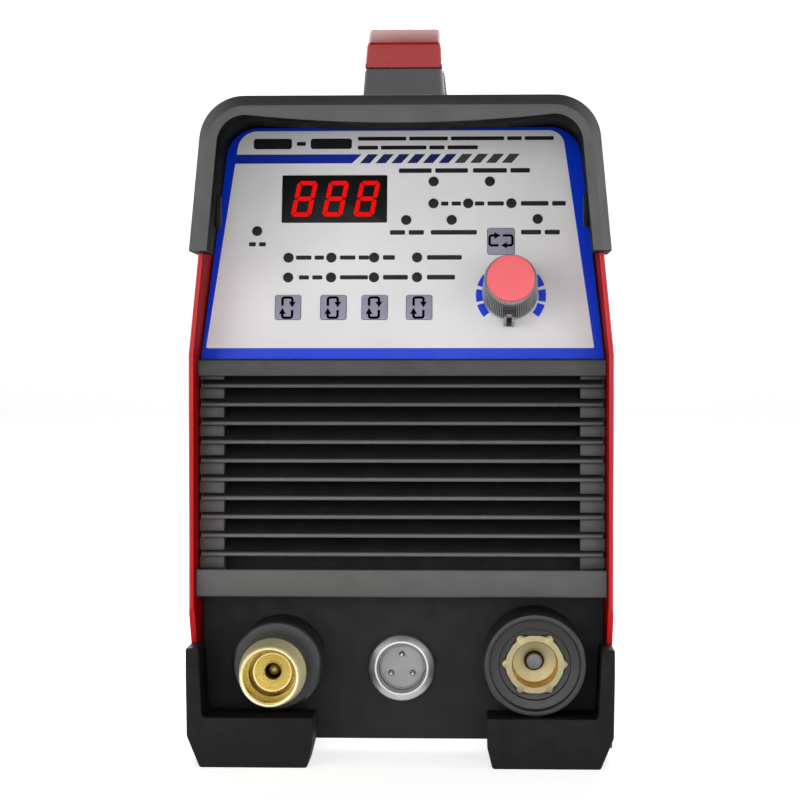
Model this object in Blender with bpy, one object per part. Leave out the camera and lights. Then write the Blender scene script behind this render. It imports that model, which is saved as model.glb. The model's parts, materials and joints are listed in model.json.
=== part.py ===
"""TIG welding machine, a portable inverter power source, as separate solids.

Sizes are in millimetres and are scaled to metres as each mesh is made. +Z is up and the
front faces -Y. The origin is the centre of the bounding box on the floor.
"""
import math

import bmesh
import bpy

MM = 0.001
GAP = 0.3                 # clearance between pieces that touch on the real machine

# ---- Driving dimensions ----------------------------------------------------------------
COVER_HALF = 82.5         # half width over the red sides
SHEET = 2.2               # thickness of the cover's edge
COVER_BOTTOM = 5.3
COVER_TOP = 254.7
BEND_Z = 158.8            # above this height the sides lean inwards
COVER_LEAN = math.radians(5.6)
COVER_CORNER = 16.0
COVER_FRONT = -171.0
COVER_REAR = 188.0
BODY_MID = (COVER_FRONT + COVER_REAR) / 2
INNER_HALF = COVER_HALF - SHEET - GAP

HOOD_OVERHANG = 12.0      # the hoods stand this far ahead of the cover's edge
HOOD_BOTTOM = 198.5
HOOD_TOP = 258.0
HOOD_HALF = 81.0          # half width at the hood's lower end
HOOD_LEAN = math.radians(5.4)
HOOD_RIM_DEPTH = 24.0
HOOD_CHAMFER = 3.4
HOOD_RIM = 7.2            # width of the rim seen from the front, with its chamfer
HOOD_BOW = 3.2            # the rim's lower edge sags this much in the middle

FOOT_LEDGE = 19.4
LOWER_PANEL_Y = COVER_FRONT + 27.0
LOUVRE_FACE_Y = COVER_FRONT + 11.0
LOUVRE_BAND_Y = COVER_FRONT + 5.0
LOUVRE_BOTTOM = 64.2
LOUVRE_TOP = 157.0
FIN_COUNT = 10
FIN_PITCH = 7.37
FIN_TOP_Z = 146.6
FIN_HEIGHT = 1.5
SLOT_HALF = 70.2
SLAT_RISE = 6.4
PILLAR_SETBACK = 4.0
WINDOW_TOP = 150.5

PANEL_FOOT_Y = COVER_FRONT + 17.0
PANEL_FOOT_Z = LOUVRE_TOP + GAP
PANEL_LEAN = math.radians(13.0)
PANEL_LENGTH = 96.6       # along the leaning panel
OVERLAY = 0.5
PLATE = 2.0
PLATE_FRONT = OVERLAY + GAP
PLATE_BACK = PLATE_FRONT + PLATE
PCB_DEPTH = 14.0          # control board behind the panel's face

KNOB_AT = (42.7, 26.6)
BUTTON_SIZES = ((10.1, 9.9),) * 4 + ((10.6, 10.8),)
BUTTON_TRAVEL = 0.6
BUTTONS_AT = ((-45.5, 20.7), (-27.4, 20.7), (-11.0, 20.7), (6.7, 20.7), (39.2, 47.9))
DISPLAY_SIZE = (42.2, 19.8)
DISPLAY_AT = (-27.6, 66.1)
LED_RADIUS = 2.0
MODE_LEDS = [(-45.7 + 17.15 * column, height) for height in (33.4, 41.6) for column in range(4)]
VALUE_LEDS = [(1.3, 57.2), (19.5, 57.2), (53.9, 57.5), (12.2, 64.1), (26.1, 64.1),
              (43.4, 64.1), (12.2, 73.3), (34.8, 73.3)]
WARNING_LED = (-58.5, 52.7)
LEDS_AT = MODE_LEDS + VALUE_LEDS + [WARNING_LED]

TORCH_AT = (-48.3, 37.7)
SOCKET_AT = (-0.3, 34.1)
OUTPUT_AT = (52.0, 39.3)

REAR_PANEL_Y = COVER_REAR - 27.0
FAN_AT = (0.0, 88.0)
FAN_SIZE = 119.0
FAN_DEPTH = 25.0
SWITCH_AT = (42.0, 182.0)
GLAND_AT = (-42.0, 182.0)
GAS_AT = (0.0, 182.0)
EARTH_AT = (64.0, 36.0)

HANDLE_HALF_LENGTH = 151.5
HANDLE_HALF_WIDTH = 16.3
HANDLE_TAPER = 0.045
HANDLE_FOOT_Z = HOOD_TOP + GAP
HANDLE_TOP = 300.0
HANDLE_SCREW_INSET = 24.0


# ---- Materials -------------------------------------------------------------------------
def material(name, colour, roughness, metallic=0.0):
    mat = bpy.data.materials.new(name)
    mat.use_nodes = True
    shader = mat.node_tree.nodes["Principled BSDF"]
    shader.inputs["Base Color"].default_value = (*colour, 1.0)
    shader.inputs["Roughness"].default_value = roughness
    shader.inputs["Metallic"].default_value = metallic
    mat.diffuse_color = (*colour, 1.0)
    return mat


def make_materials():
    return {
        "red": material("red_paint", (0.58, 0.03, 0.035), 0.35),
        "grey": material("grey_plastic", (0.085, 0.085, 0.082), 0.5),
        "black": material("black_plastic", (0.02, 0.02, 0.019), 0.45),
        "rubber": material("black_rubber", (0.022, 0.022, 0.02), 0.7),
        "blue": material("overlay_film", (0.03, 0.08, 0.6), 0.35),
        "key": material("key_plastic", (0.3, 0.29, 0.38), 0.5),
        "cap": material("knob_cap", (0.95, 0.2, 0.22), 0.4),
        "window": material("display_window", (0.02, 0.008, 0.006), 0.1),
        "brass": material("brass", (0.75, 0.56, 0.25), 0.25, 1.0),
        "nickel": material("nickel", (0.7, 0.7, 0.7), 0.25, 1.0),
        "steel": material("zinc_steel", (0.5, 0.5, 0.5), 0.4, 1.0),
        "aluminium": material("aluminium", (0.65, 0.66, 0.67), 0.4, 1.0),
        "board": material("circuit_board", (0.03, 0.2, 0.07), 0.5),
        "insert": material("socket_insert", (0.35, 0.35, 0.34), 0.5),
        "copper": material("copper_winding", (0.6, 0.25, 0.1), 0.4, 0.8),
    }


# ---- Mesh helpers ----------------------------------------------------------------------
def add_object(name, bm, mat, parent=None, location=(0, 0, 0)):
    """Turns a bmesh in millimetres into a named object in metres."""
    bmesh.ops.recalc_face_normals(bm, faces=bm.faces)
    bmesh.ops.scale(bm, vec=(MM, MM, MM), verts=bm.verts)
    mesh = bpy.data.meshes.new(name)
    bm.to_mesh(mesh)
    bm.free()
    obj = bpy.data.objects.new(name, mesh)
    obj.location = [value * MM for value in location]
    obj.parent = parent
    bpy.context.collection.objects.link(obj)
    if mat:
        mesh.materials.append(mat)
    mesh.shade_smooth()
    mesh.set_sharp_from_angle(angle=math.radians(35))
    return obj


def cutter(name, bm, parent=None, location=(0, 0, 0)):
    obj = add_object(name, bm, None, parent, location)
    obj.hide_render = True
    obj.display_type = "WIRE"
    return obj


def boolean(obj, other, operation="DIFFERENCE"):
    modifier = obj.modifiers.new(other.name, "BOOLEAN")
    modifier.operation = operation
    modifier.object = other
    modifier.solver = "EXACT"
    return obj


def add_sections(bm, sections, closed=False):
    """Skins a row of equal closed loops. The first and last loops are capped."""
    loops = [[bm.verts.new(point) for point in section] for section in sections]
    count = len(loops[0])
    pairs = list(zip(loops, loops[1:]))
    if closed:
        pairs.append((loops[-1], loops[0]))
    for low, high in pairs:
        for i in range(count):
            j = (i + 1) % count
            bm.faces.new((low[i], low[j], high[j], high[i]))
    if not closed:
        bm.faces.new(list(reversed(loops[0])))
        bm.faces.new(loops[-1])


def add_prism(bm, outline, axis, low, high):
    """Extrudes a 2-D outline along an axis: X takes (y, z), Y takes (x, z), Z takes (x, y)."""
    place = {
        "X": lambda a, b, t: (t, a, b),
        "Y": lambda a, b, t: (a, t, b),
        "Z": lambda a, b, t: (a, b, t),
    }[axis]
    add_sections(bm, [[place(a, b, t) for a, b in outline] for t in (low, high)])


def add_box(bm, low, high):
    outline = [(low[0], low[2]), (high[0], low[2]), (high[0], high[2]), (low[0], high[2])]
    add_prism(bm, outline, "Y", low[1], high[1])


def prism(name, outline, axis, low, high, mat, parent=None, location=(0, 0, 0)):
    bm = bmesh.new()
    add_prism(bm, outline, axis, low, high)
    return add_object(name, bm, mat, parent, location)


def box(name, low, high, mat, parent=None, location=(0, 0, 0)):
    bm = bmesh.new()
    add_box(bm, low, high)
    return add_object(name, bm, mat, parent, location)


def circle(radius, segments, centre=(0, 0), phase=0.0):
    step = 2 * math.pi / segments
    return [(centre[0] + radius * math.cos(step * i + phase),
             centre[1] + radius * math.sin(step * i + phase)) for i in range(segments)]


def rounded_rect(width, height, radius, centre=(0, 0), segments=4):
    points = []
    for quadrant, (sx, sz) in enumerate(((1, 1), (-1, 1), (-1, -1), (1, -1))):
        cx = centre[0] + sx * (width / 2 - radius)
        cz = centre[1] + sz * (height / 2 - radius)
        for i in range(segments + 1):
            angle = (quadrant + i / segments) * math.pi / 2
            points.append((cx + radius * math.cos(angle), cz + radius * math.sin(angle)))
    return points


def add_turned(bm, profile, centre=(0, 0), segments=32, ring=False, axis="Y", phase=0.0):
    """Turns (radius, distance) points. Distance runs to the front (-Y), or up for axis Z."""
    rings = []
    for radius, distance in profile:
        if axis == "Y":
            points = [(x, -distance, z) for x, z in circle(radius, segments, centre, phase)]
        else:
            points = [(x, y, distance) for x, y in circle(radius, segments, centre, phase)]
        rings.append(points)
    add_sections(bm, rings, closed=ring)


def turned(name, profile, mat, location, segments=32, ring=False, axis="Y", parent=None,
           phase=0.0):
    bm = bmesh.new()
    add_turned(bm, profile, segments=segments, ring=ring, axis=axis, phase=phase)
    return add_object(name, bm, mat, parent, location)


# ---- Arched outlines of the cover and hoods ----------------------------------------------
def arch_half(half_at, z_at, lean, top, corner, start, bow=0.0, arc_steps=6, top_steps=4):
    """Right half of an arch: a leaning side from `start`, a round corner, the flat top.

    The side passes through (half_at, z_at). A bow sags the top towards the middle.
    """
    def side_x(z):
        return half_at - (z - z_at) * math.tan(lean)

    centre_z = top - corner
    reach = corner - (z_at - centre_z) * math.sin(lean)
    centre_x = half_at - reach / math.cos(lean)
    points = [(side_x(start), start)]
    for i in range(arc_steps + 1):
        angle = lean + (math.pi / 2 - lean) * i / arc_steps
        points.append((centre_x + corner * math.cos(angle), centre_z + corner * math.sin(angle)))
    for i in range(1, top_steps + 1):
        x = centre_x * (1 - i / top_steps)
        points.append((x, top - bow * (1 - (x / centre_x) ** 2)))
    return points


def mirror_half(points):
    """Full arch from its right half, from the right foot over the top to the left foot."""
    return points + [(-x, z) for x, z in reversed(points[:-1])]


def cover_arch(inset, start):
    half = arch_half(COVER_HALF - inset, BEND_Z, COVER_LEAN, COVER_TOP - inset,
                     COVER_CORNER - inset, BEND_Z)
    return mirror_half([(COVER_HALF - inset, start)] + half)


def cover_half_width(z, inset=0.0):
    return COVER_HALF - inset - max(0.0, z - BEND_Z) * math.tan(COVER_LEAN)


def hood_arch(inset, drop, corner, bow=0.0):
    return mirror_half(arch_half(HOOD_HALF - inset, HOOD_BOTTOM, HOOD_LEAN, HOOD_TOP - drop,
                                 corner, HOOD_BOTTOM, bow))


def skirt_arch():
    """Inside of the hood's skirt, which laps over the cover."""
    half = arch_half(COVER_HALF + GAP, BEND_Z, COVER_LEAN, COVER_TOP + GAP,
                     COVER_CORNER + GAP, HOOD_BOTTOM)
    return mirror_half(half)


# ---- Enclosure -------------------------------------------------------------------------
def make_cover(mats):
    outline = cover_arch(0.0, COVER_BOTTOM) + list(reversed(cover_arch(SHEET, COVER_BOTTOM)))
    cover = prism("cover_shell", outline, "Y", COVER_FRONT, COVER_REAR, mats["red"])
    notch_y = HOOD_RIM_DEPTH - HOOD_OVERHANG + GAP
    foot_y = 7.8
    for end, sign in (("front", 1), ("rear", -1)):
        edge = COVER_FRONT if sign > 0 else COVER_REAR
        lower = [(-9, -5), (foot_y, -5), (foot_y, 46.5), (0, 60.5), (-9, 60.5)]
        upper = [(-9, HOOD_BOTTOM - GAP), (notch_y, HOOD_BOTTOM - GAP), (notch_y, 270), (-9, 270)]
        bm = bmesh.new()
        for outline in (lower, upper):
            add_prism(bm, [(edge + sign * a, b) for a, b in outline], "X", -100, 100)
        boolean(cover, cutter("cover_cut_" + end, bm))
    return cover


def make_hood(name, mats, end):
    """Arched rim with a chamfer, and a skirt behind it that laps over the cover."""
    sign = 1 if end == "front" else -1
    face = BODY_MID - sign * (BODY_MID - COVER_FRONT + HOOD_OVERHANG)

    def loop(outer, inner, depth, rise=0.0):
        points = outer + list(reversed(inner))
        span = HOOD_TOP - HOOD_BOTTOM
        return [(x, face + sign * (depth + rise * (z - HOOD_BOTTOM) / span), z)
                for x, z in points]

    outer = hood_arch(0.0, 0.0, 17.5)
    inner = hood_arch(HOOD_RIM, 7.7, 11.0, HOOD_BOW)
    skirt = skirt_arch()
    sections = [
        loop(hood_arch(HOOD_CHAMFER, 4.0, 15.0), inner, 0.0),
        loop(outer, inner, HOOD_CHAMFER),
        loop(outer, inner, HOOD_RIM_DEPTH),
        loop(outer, skirt, HOOD_RIM_DEPTH + 0.1),
        loop(outer, skirt, 34.0, 44.0),
    ]
    bm = bmesh.new()
    add_sections(bm, sections)
    return add_object(name, bm, mats["grey"])


def make_base_tray(mats):
    flange, wall = 22.0, 1.5
    half = INNER_HALF
    low = COVER_BOTTOM
    outline = [(-half, low), (half, low), (half, flange), (half - wall, flange),
               (half - wall, low + wall), (wall - half, low + wall), (wall - half, flange),
               (-half, flange)]
    return prism("base_tray", outline, "Y", LOWER_PANEL_Y + PLATE + GAP, REAR_PANEL_Y - PLATE - GAP,
                 mats["steel"])


def make_foot(name, mats, side, end):
    """L-shaped corner guard with a block that reaches under the tray."""
    sign = 1 if end == "front" else -1
    front = BODY_MID - sign * (BODY_MID - COVER_FRONT + 10.0)

    def at(depth):
        return front + sign * depth

    guard = [(82.4, 46.0), (82.4, 36.0), (82.0, 12.0), (77.0, 0.0), (35.6, 0.0), (33.6, 8.0),
             (33.4, FOOT_LEDGE), (76.0, FOOT_LEDGE), (77.3, 46.0)]
    foot = prism(name, [(side * x, z) for x, z in guard], "Y", at(0), at(21.0), mats["rubber"])
    block = [(at(16), 0), (at(16), 17.0), (at(36.7), 17.0), (at(36.7), 5.0), (at(62), 5.0),
             (at(62), 0)]
    bm = bmesh.new()
    add_prism(bm, block, "X", side * 38.0, side * 76.0)
    boolean(foot, cutter(name + "_block", bm), "UNION")
    bm = bmesh.new()
    lows = sorted((side * INNER_HALF, side * 90.0))
    depths = sorted((at(17.6), at(30.0)))
    add_box(bm, (lows[0], depths[0], -1.0), (lows[1], depths[1], 50.0))
    boolean(foot, cutter(name + "_relief", bm))
    return foot


def make_louvre(mats):
    """Moulded grille: a frame, a band below, and ten slats that slope up towards the back."""
    back = LOWER_PANEL_Y - 4.0
    half = INNER_HALF
    outline = [(LOWER_PANEL_Y - GAP, LOUVRE_BOTTOM), (LOUVRE_BAND_Y, LOUVRE_BOTTOM),
               (LOUVRE_BAND_Y, 75.0), (LOUVRE_FACE_Y, 77.6), (LOUVRE_FACE_Y, LOUVRE_TOP),
               (back, LOUVRE_TOP), (back, 75.0), (LOWER_PANEL_Y - GAP, 75.0)]
    frame = prism("louvre_frame", outline, "X", -half, half, mats["grey"])
    window_low = LOUVRE_BOTTOM + 14.4
    recess = bmesh.new()
    add_box(recess, (-half - 5, LOUVRE_FACE_Y - 9, window_low),
            (half + 5, LOUVRE_FACE_Y + PILLAR_SETBACK, WINDOW_TOP))
    boolean(frame, cutter("louvre_recess", recess))
    window = bmesh.new()
    add_box(window, (-SLOT_HALF, LOUVRE_FACE_Y - 9, window_low), (SLOT_HALF, back + 5, WINDOW_TOP))
    boolean(frame, cutter("louvre_window", window))
    slats = bmesh.new()
    slat_half = FIN_HEIGHT / 2
    for i in range(FIN_COUNT):
        z = FIN_TOP_Z - i * FIN_PITCH
        slat = [(LOUVRE_FACE_Y, z - slat_half), (LOUVRE_FACE_Y, z + slat_half),
                (back - 1.0, z + slat_half + SLAT_RISE), (back - 1.0, z - slat_half + SLAT_RISE)]
        if i == 0:
            slat[2:] = [(back - 5.6, WINDOW_TOP + 0.6), (back - 3.4, WINDOW_TOP + 0.6)]
        add_prism(slats, slat, "X", GAP - half, half - GAP)
    boolean(frame, cutter("louvre_slats", slats), "UNION")
    return frame


def make_lower_panel(mats):
    half = INNER_HALF
    low = COVER_BOTTOM
    panel = box("connector_panel", (-half, LOWER_PANEL_Y, low), (half, LOWER_PANEL_Y + PLATE, 80.0),
                mats["black"])
    bm = bmesh.new()
    for centre, radius in ((TORCH_AT, 8.5), (SOCKET_AT, 10.3), (OUTPUT_AT, 10.3)):
        add_prism(bm, circle(radius, 32, centre), "Y", LOWER_PANEL_Y - 9, LOWER_PANEL_Y + 9)
    return boolean(panel, cutter("connector_holes", bm))


# ---- Control panel: local X across, Z up along the panel, -Y out of its face ---------------
def panel_outline(inset, start=0.0):
    """The leaning panel's outline inside the cover, with round upper corners."""
    side_slope = math.tan(COVER_LEAN) * math.cos(PANEL_LEAN)
    foot_half = cover_half_width(PANEL_FOOT_Z, SHEET + GAP + inset)
    half = arch_half(foot_half, 0.0, math.atan(side_slope), PANEL_LENGTH - inset, 13.0,
                     start, top_steps=1)
    full = mirror_half(half)
    return [point for i, point in enumerate(full) if i != len(half) - 1]


def make_control_panel(mats, frame):
    plate = prism("control_panel", panel_outline(0.0, 0.8), "Y", PLATE_FRONT, PLATE_BACK,
                  mats["black"], frame)
    overlay = prism("panel_overlay", panel_outline(0.4), "Y", 0.0, OVERLAY, mats["blue"], frame)
    for obj in (plate, overlay):
        bm = bmesh.new()
        for centre in LEDS_AT:
            add_prism(bm, circle(LED_RADIUS + GAP, 10, centre), "Y", -5, 8)
        for centre, size in zip(BUTTONS_AT, BUTTON_SIZES):
            width, height = (value + 2 * GAP for value in size)
            add_prism(bm, rounded_rect(width, height, 1.6, centre, 2), "Y", -5, 8)
        width, height = (value + 2 * GAP for value in DISPLAY_SIZE)
        add_prism(bm, rounded_rect(width, height, 0.8, DISPLAY_AT, 1), "Y", -5, 8)
        add_prism(bm, circle(4.8, 16, KNOB_AT), "Y", -5, 8)
        boolean(obj, cutter(obj.name + "_holes", bm, frame))


def make_leds(mats, frame):
    """One light guide: a backing plate and a boss through each of the panel's holes."""
    back = PLATE_BACK + GAP
    guide = box("led_light_guide", (-61.5, back, 30.5), (57.0, back + 1.4, 76.2), mats["insert"],
                frame)
    bosses = bmesh.new()
    for centre in LEDS_AT:
        add_prism(bosses, circle(LED_RADIUS, 10, centre), "Y", -0.2, back + 0.7)
    boolean(guide, cutter("led_bosses", bosses, frame), "UNION")
    windows = bmesh.new()
    add_box(windows, (-50.2, 0, 55.4), (-5.2, 9, 90.0))
    add_box(windows, (31.5, 0, 40.6), (46.9, 9, 55.2))
    add_box(windows, (35.6, 0, 18.0), (50.6, 9, 33.5))
    boolean(guide, cutter("led_guide_windows", windows, frame))
    return guide


def make_display(mats, frame):
    window = rounded_rect(*DISPLAY_SIZE, 0.8, DISPLAY_AT, 1)
    prism("display_window", window, "Y", -0.3, PLATE_BACK, mats["window"], frame)
    module = rounded_rect(DISPLAY_SIZE[0] + 1.6, DISPLAY_SIZE[1] - 0.8, 0.4, DISPLAY_AT, 1)
    prism("display_module", module, "Y", PLATE_BACK + GAP, PCB_DEPTH - GAP, mats["black"], frame)


def make_buttons(mats, frame):
    """Five keys: a cap through the panel, a flange behind it and a stem to its switch."""
    for number, (x, z) in enumerate(BUTTONS_AT, start=1):
        width, height = BUTTON_SIZES[number - 1]
        cap = rounded_rect(width, height, 1.4, (0, 0), 2)
        key = prism("button_%d" % number, cap, "Y", -0.8, PLATE_BACK + 1.6, mats["key"], frame,
                    (x, 0, z))
        bm = bmesh.new()
        add_prism(bm, rounded_rect(width + 1.6, height + 1.6, 1.4, (0, 0), 2), "Y",
                  PLATE_BACK + GAP, PLATE_BACK + 1.3)
        boolean(key, cutter("button_%d_flange" % number, bm, frame, (x, 0, z)), "UNION")
        bm = bmesh.new()
        add_prism(bm, circle(1.7, 12), "Y", PLATE_BACK + 1.0, PCB_DEPTH - 2.5 - BUTTON_TRAVEL)
        boolean(key, cutter("button_%d_stem" % number, bm, frame, (x, 0, z)), "UNION")


def make_control_board(mats, frame):
    """Board behind the panel, with a tactile switch under each key."""
    board = box("control_board", (-64, PCB_DEPTH, 8), (60, PCB_DEPTH + 1.6, 84), mats["board"],
                frame)
    switches = bmesh.new()
    for x, z in BUTTONS_AT:
        add_box(switches, (x - 3, PCB_DEPTH - 2.3, z - 3), (x + 3, PCB_DEPTH + 0.8, z + 3))
    return boolean(board, cutter("tact_switches", switches, frame), "UNION")


def make_encoder(mats, frame):
    """Endless rotary encoder: body with a threaded bush, its nut, and the turning shaft."""
    x, z = KNOB_AT
    back = PLATE_BACK + GAP
    body = box("encoder_body", (-6.5, back, -6.5), (6.5, PCB_DEPTH - GAP, 6.5), mats["steel"],
               frame, (x, 0, z))
    bush = bmesh.new()
    add_prism(bush, circle(4.5, 16), "Y", -3.6, back + 3)
    boolean(body, cutter("encoder_bush", bush, frame, (x, 0, z)), "UNION")
    bore = bmesh.new()
    add_prism(bore, circle(3.2, 16), "Y", -9, back + 5)
    boolean(body, cutter("encoder_bore", bore, frame, (x, 0, z)))
    nut = prism("encoder_nut", circle(6.9, 6), "Y", -2.6, -GAP, mats["nickel"], frame, (x, 0, z))
    hole = bmesh.new()
    add_prism(hole, circle(4.8, 16), "Y", -9, 9)
    boolean(nut, cutter("encoder_nut_hole", hole, frame, (x, 0, z)))
    turned("encoder_shaft", [(2.9, -back - 4.6), (2.9, 17.0), (2.5, 17.4)], mats["steel"],
           (x, 0, z), 16, parent=frame)


def make_knob(mats, frame):
    """Knurled knob body with a pointer lug, and the coloured cap on its face."""
    x, z = KNOB_AT
    teeth = 30

    def tooth_ring(radius, depth, distance):
        points = []
        for i in range(2 * teeth):
            angle = math.pi * i / teeth
            reach = radius - (depth if i % 2 else 0.0)
            points.append((reach * math.cos(angle), -distance, reach * math.sin(angle)))
        return points

    rings = [(8.2, 0, 4.0), (8.2, 0, 1.0), (11.0, 0, 1.0), (11.0, 0, 2.4), (10.9, 0.5, 2.6),
             (9.9, 0.5, 20.4), (9.5, 0, 20.8)]
    bm = bmesh.new()
    add_sections(bm, [tooth_ring(*ring) for ring in rings])
    knob = add_object("knob_body", bm, mats["black"], frame, (x, 0, z))
    bore = bmesh.new()
    add_prism(bore, circle(3.2, 16), "Y", -18.0, 0.0)
    boolean(knob, cutter("knob_bore", bore, frame, (x, 0, z)))
    lug = bmesh.new()
    add_box(lug, (-2.1, -8.0, -14.0), (2.1, -1.2, -9.0))
    boolean(knob, cutter("knob_pointer", lug, frame, (x, 0, z)), "UNION")
    turned("knob_cap", [(9.5, 20.8 + GAP), (9.5, 23.0), (8.9, 23.6)], mats["cap"], (x, 0, z), 28,
           parent=frame)


# ---- Connectors on the lower panel ----------------------------------------------------------
def make_torch_connector(mats):
    """Gas and power outlet: insulator, flared brass nozzle, gas pin and the inner nut."""
    x, z = TORCH_AT
    at = (x, LOWER_PANEL_Y, z)
    insulator = [(8.5, GAP), (17.4, GAP), (17.4, 24.0), (16.4, 25.0), (8.5, 25.0)]
    turned("torch_insulator", insulator, mats["black"], at, 32, ring=True)
    nozzle = [(7.9, -13.0), (7.9, 25.3), (9.6, 25.3), (9.6, 36.5), (12.6, 40.5), (12.9, 42.0),
              (11.4, 54.8), (10.6, 56.0), (9.8, 56.0), (8.8, 46.0), (7.4, 42.4), (3.1, 40.0),
              (3.1, -13.0)]
    turned("torch_nozzle", nozzle, mats["brass"], at, 28, ring=True)
    turned("torch_gas_pin", [(2.6, 20.0), (2.6, 34.0), (1.4, 36.4)], mats["brass"], at, 20)
    nut = prism("torch_nut", circle(13.5, 6), "Y", PLATE + GAP, PLATE + 8.0, mats["brass"], None, at)
    hole = bmesh.new()
    add_prism(hole, circle(8.2, 32), "Y", -20, 20)
    boolean(nut, cutter("torch_nut_hole", hole, None, at))


def make_output_connector(mats):
    """Power socket: insulating cup, brass hexagon with its bore, steel pin, inner nut."""
    x, z = OUTPUT_AT
    at = (x, LOWER_PANEL_Y, z)
    cup = [(9.6, GAP), (19.7, GAP), (19.8, 31.5), (19.5, 33.0), (17.8, 33.0), (17.3, 30.0),
           (13.9, 30.0), (13.7, 28.6), (9.6, 28.6)]
    insulator = turned("output_insulator", cup, mats["black"], at, 32, ring=True)
    pocket = bmesh.new()
    add_prism(pocket, circle(13.2, 6), "Y", -35.0, -19.0)
    boolean(insulator, cutter("output_pocket", pocket, None, at))
    hexagon = prism("output_socket", circle(12.8, 6), "Y", -29.8, -19.3, mats["brass"], None, at)
    shank = bmesh.new()
    add_prism(shank, circle(9.3, 24), "Y", -21.0, 17.0)
    boolean(hexagon, cutter("output_shank", shank, None, at), "UNION")
    bore = bmesh.new()
    add_turned(bore, [(3.7, 2.0), (3.7, 18.0), (8.5, 18.0), (8.7, 35.0)], segments=24)
    boolean(hexagon, cutter("output_bore", bore, None, at))
    turned("output_pin", [(3.3, 2.4), (3.3, 20.6), (2.8, 21.2)], mats["steel"], at, 20)
    nut = prism("output_nut", circle(15.5, 6), "Y", PLATE + GAP, PLATE + 8.0, mats["brass"], None,
                at)
    hole = bmesh.new()
    add_prism(hole, circle(9.6, 32), "Y", -20, 20)
    boolean(nut, cutter("output_nut_hole", hole, None, at))


def make_control_socket(mats):
    """Three-pin round socket: flanged shell, insulating insert, pins and the inner nut."""
    x, z = SOCKET_AT
    at = (x, LOWER_PANEL_Y, z)
    shell = [(9.2, -12.0), (10.0, -12.0), (10.0, GAP), (13.3, GAP), (13.3, 3.4), (12.6, 4.6),
             (10.4, 5.2), (10.0, 4.6), (9.2, 4.2)]
    turned("control_socket_shell", shell, mats["nickel"], at, 28, ring=True)
    insert = turned("control_socket_insert", [(8.9, -10.0), (8.9, -1.4), (8.6, -1.0)],
                    mats["insert"], at, 24)
    holes = bmesh.new()
    pin_circle = 5.0
    angles = [math.radians(90 + 120 * i) for i in range(3)]
    for angle in angles:
        centre = (pin_circle * math.cos(angle), pin_circle * math.sin(angle))
        add_prism(holes, circle(1.1, 8, centre), "Y", -5, 20)
    boolean(insert, cutter("control_socket_pin_holes", holes, None, at))
    for number, angle in enumerate(angles, start=1):
        centre = (x + pin_circle * math.cos(angle), LOWER_PANEL_Y, z + pin_circle * math.sin(angle))
        turned("control_socket_pin_%d" % number, [(0.8, -13.0), (0.8, 2.6), (0.4, 3.2)],
               mats["nickel"], centre, 8)
    nut = [(10.3, -PLATE - 4.4), (13.0, -PLATE - 4.4), (13.0, -PLATE - GAP), (10.3, -PLATE - GAP)]
    turned("control_socket_nut", nut, mats["nickel"], at, 32, ring=True)


# ---- Handle ----------------------------------------------------------------------------------
def make_handle(mats):
    """Bow along the top: dark core with two feet, and a red grip over its upper side."""
    steps = 12

    def arch(reach, top, drop, count=steps):
        rows = []
        for i in range(count + 1):
            u = reach - 2 * reach * i / count
            rows.append((u, top - drop * (u / reach) ** 2))
        return rows

    def loft(name, outline, mat):
        bm = bmesh.new()
        sections = []
        for side in (-1, 1):
            sections.append([(side * (HANDLE_HALF_WIDTH - HANDLE_TAPER * (z - HANDLE_FOOT_Z)),
                              BODY_MID - u, z) for u, z in outline])
        add_sections(bm, sections)
        return add_object(name, bm, mat)

    reach = HANDLE_HALF_LENGTH
    foot = HANDLE_FOOT_Z
    split = arch(reach - 9.0, 290.2, 15.6)
    under = arch(reach - 40.0, 283.0, 10.0)
    core = [(reach, foot)] + split + [(-reach, foot), (-reach + 32, foot), (-reach + 36, 266.0)]
    core += list(reversed(under)) + [(reach - 36, 266.0), (reach - 32, foot)]
    loft("handle_core", core, mats["grey"])
    seam = [(u, z + GAP) for u, z in split]
    nose = [(reach - 13.0, 285.0), (reach - 14.0, 286.0), (reach - 24.0, 293.2)]
    top = nose + arch(reach - 40.0, HANDLE_TOP, 4.2) + [(-u, z) for u, z in reversed(nose)]
    loft("handle_grip", top + list(reversed(seam)), mats["red"])
    for end, sign in (("front", 1), ("rear", -1)):
        y = BODY_MID - sign * (reach - HANDLE_SCREW_INSET)
        under = COVER_TOP - SHEET - GAP
        screw = [(5.0, under - 3.6), (5.0, under), (2.4, under), (2.4, foot + 12.0)]
        turned("handle_screw_" + end, screw, mats["steel"], (0, y, 0), 16, axis="Z")


def drill_handle_screws():
    """Holes for the two screws that come up through the cover and the hoods."""
    for end, sign in (("front", 1), ("rear", -1)):
        y = BODY_MID - sign * (HANDLE_HALF_LENGTH - HANDLE_SCREW_INSET)
        bm = bmesh.new()
        add_prism(bm, circle(2.8, 16, (0, y)), "Z", 235.0, HANDLE_FOOT_Z + 13.0)
        drill = cutter("handle_screw_hole_" + end, bm)
        for name in ("cover_shell", end + "_hood", "handle_core"):
            boolean(bpy.data.objects[name], drill)


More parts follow.
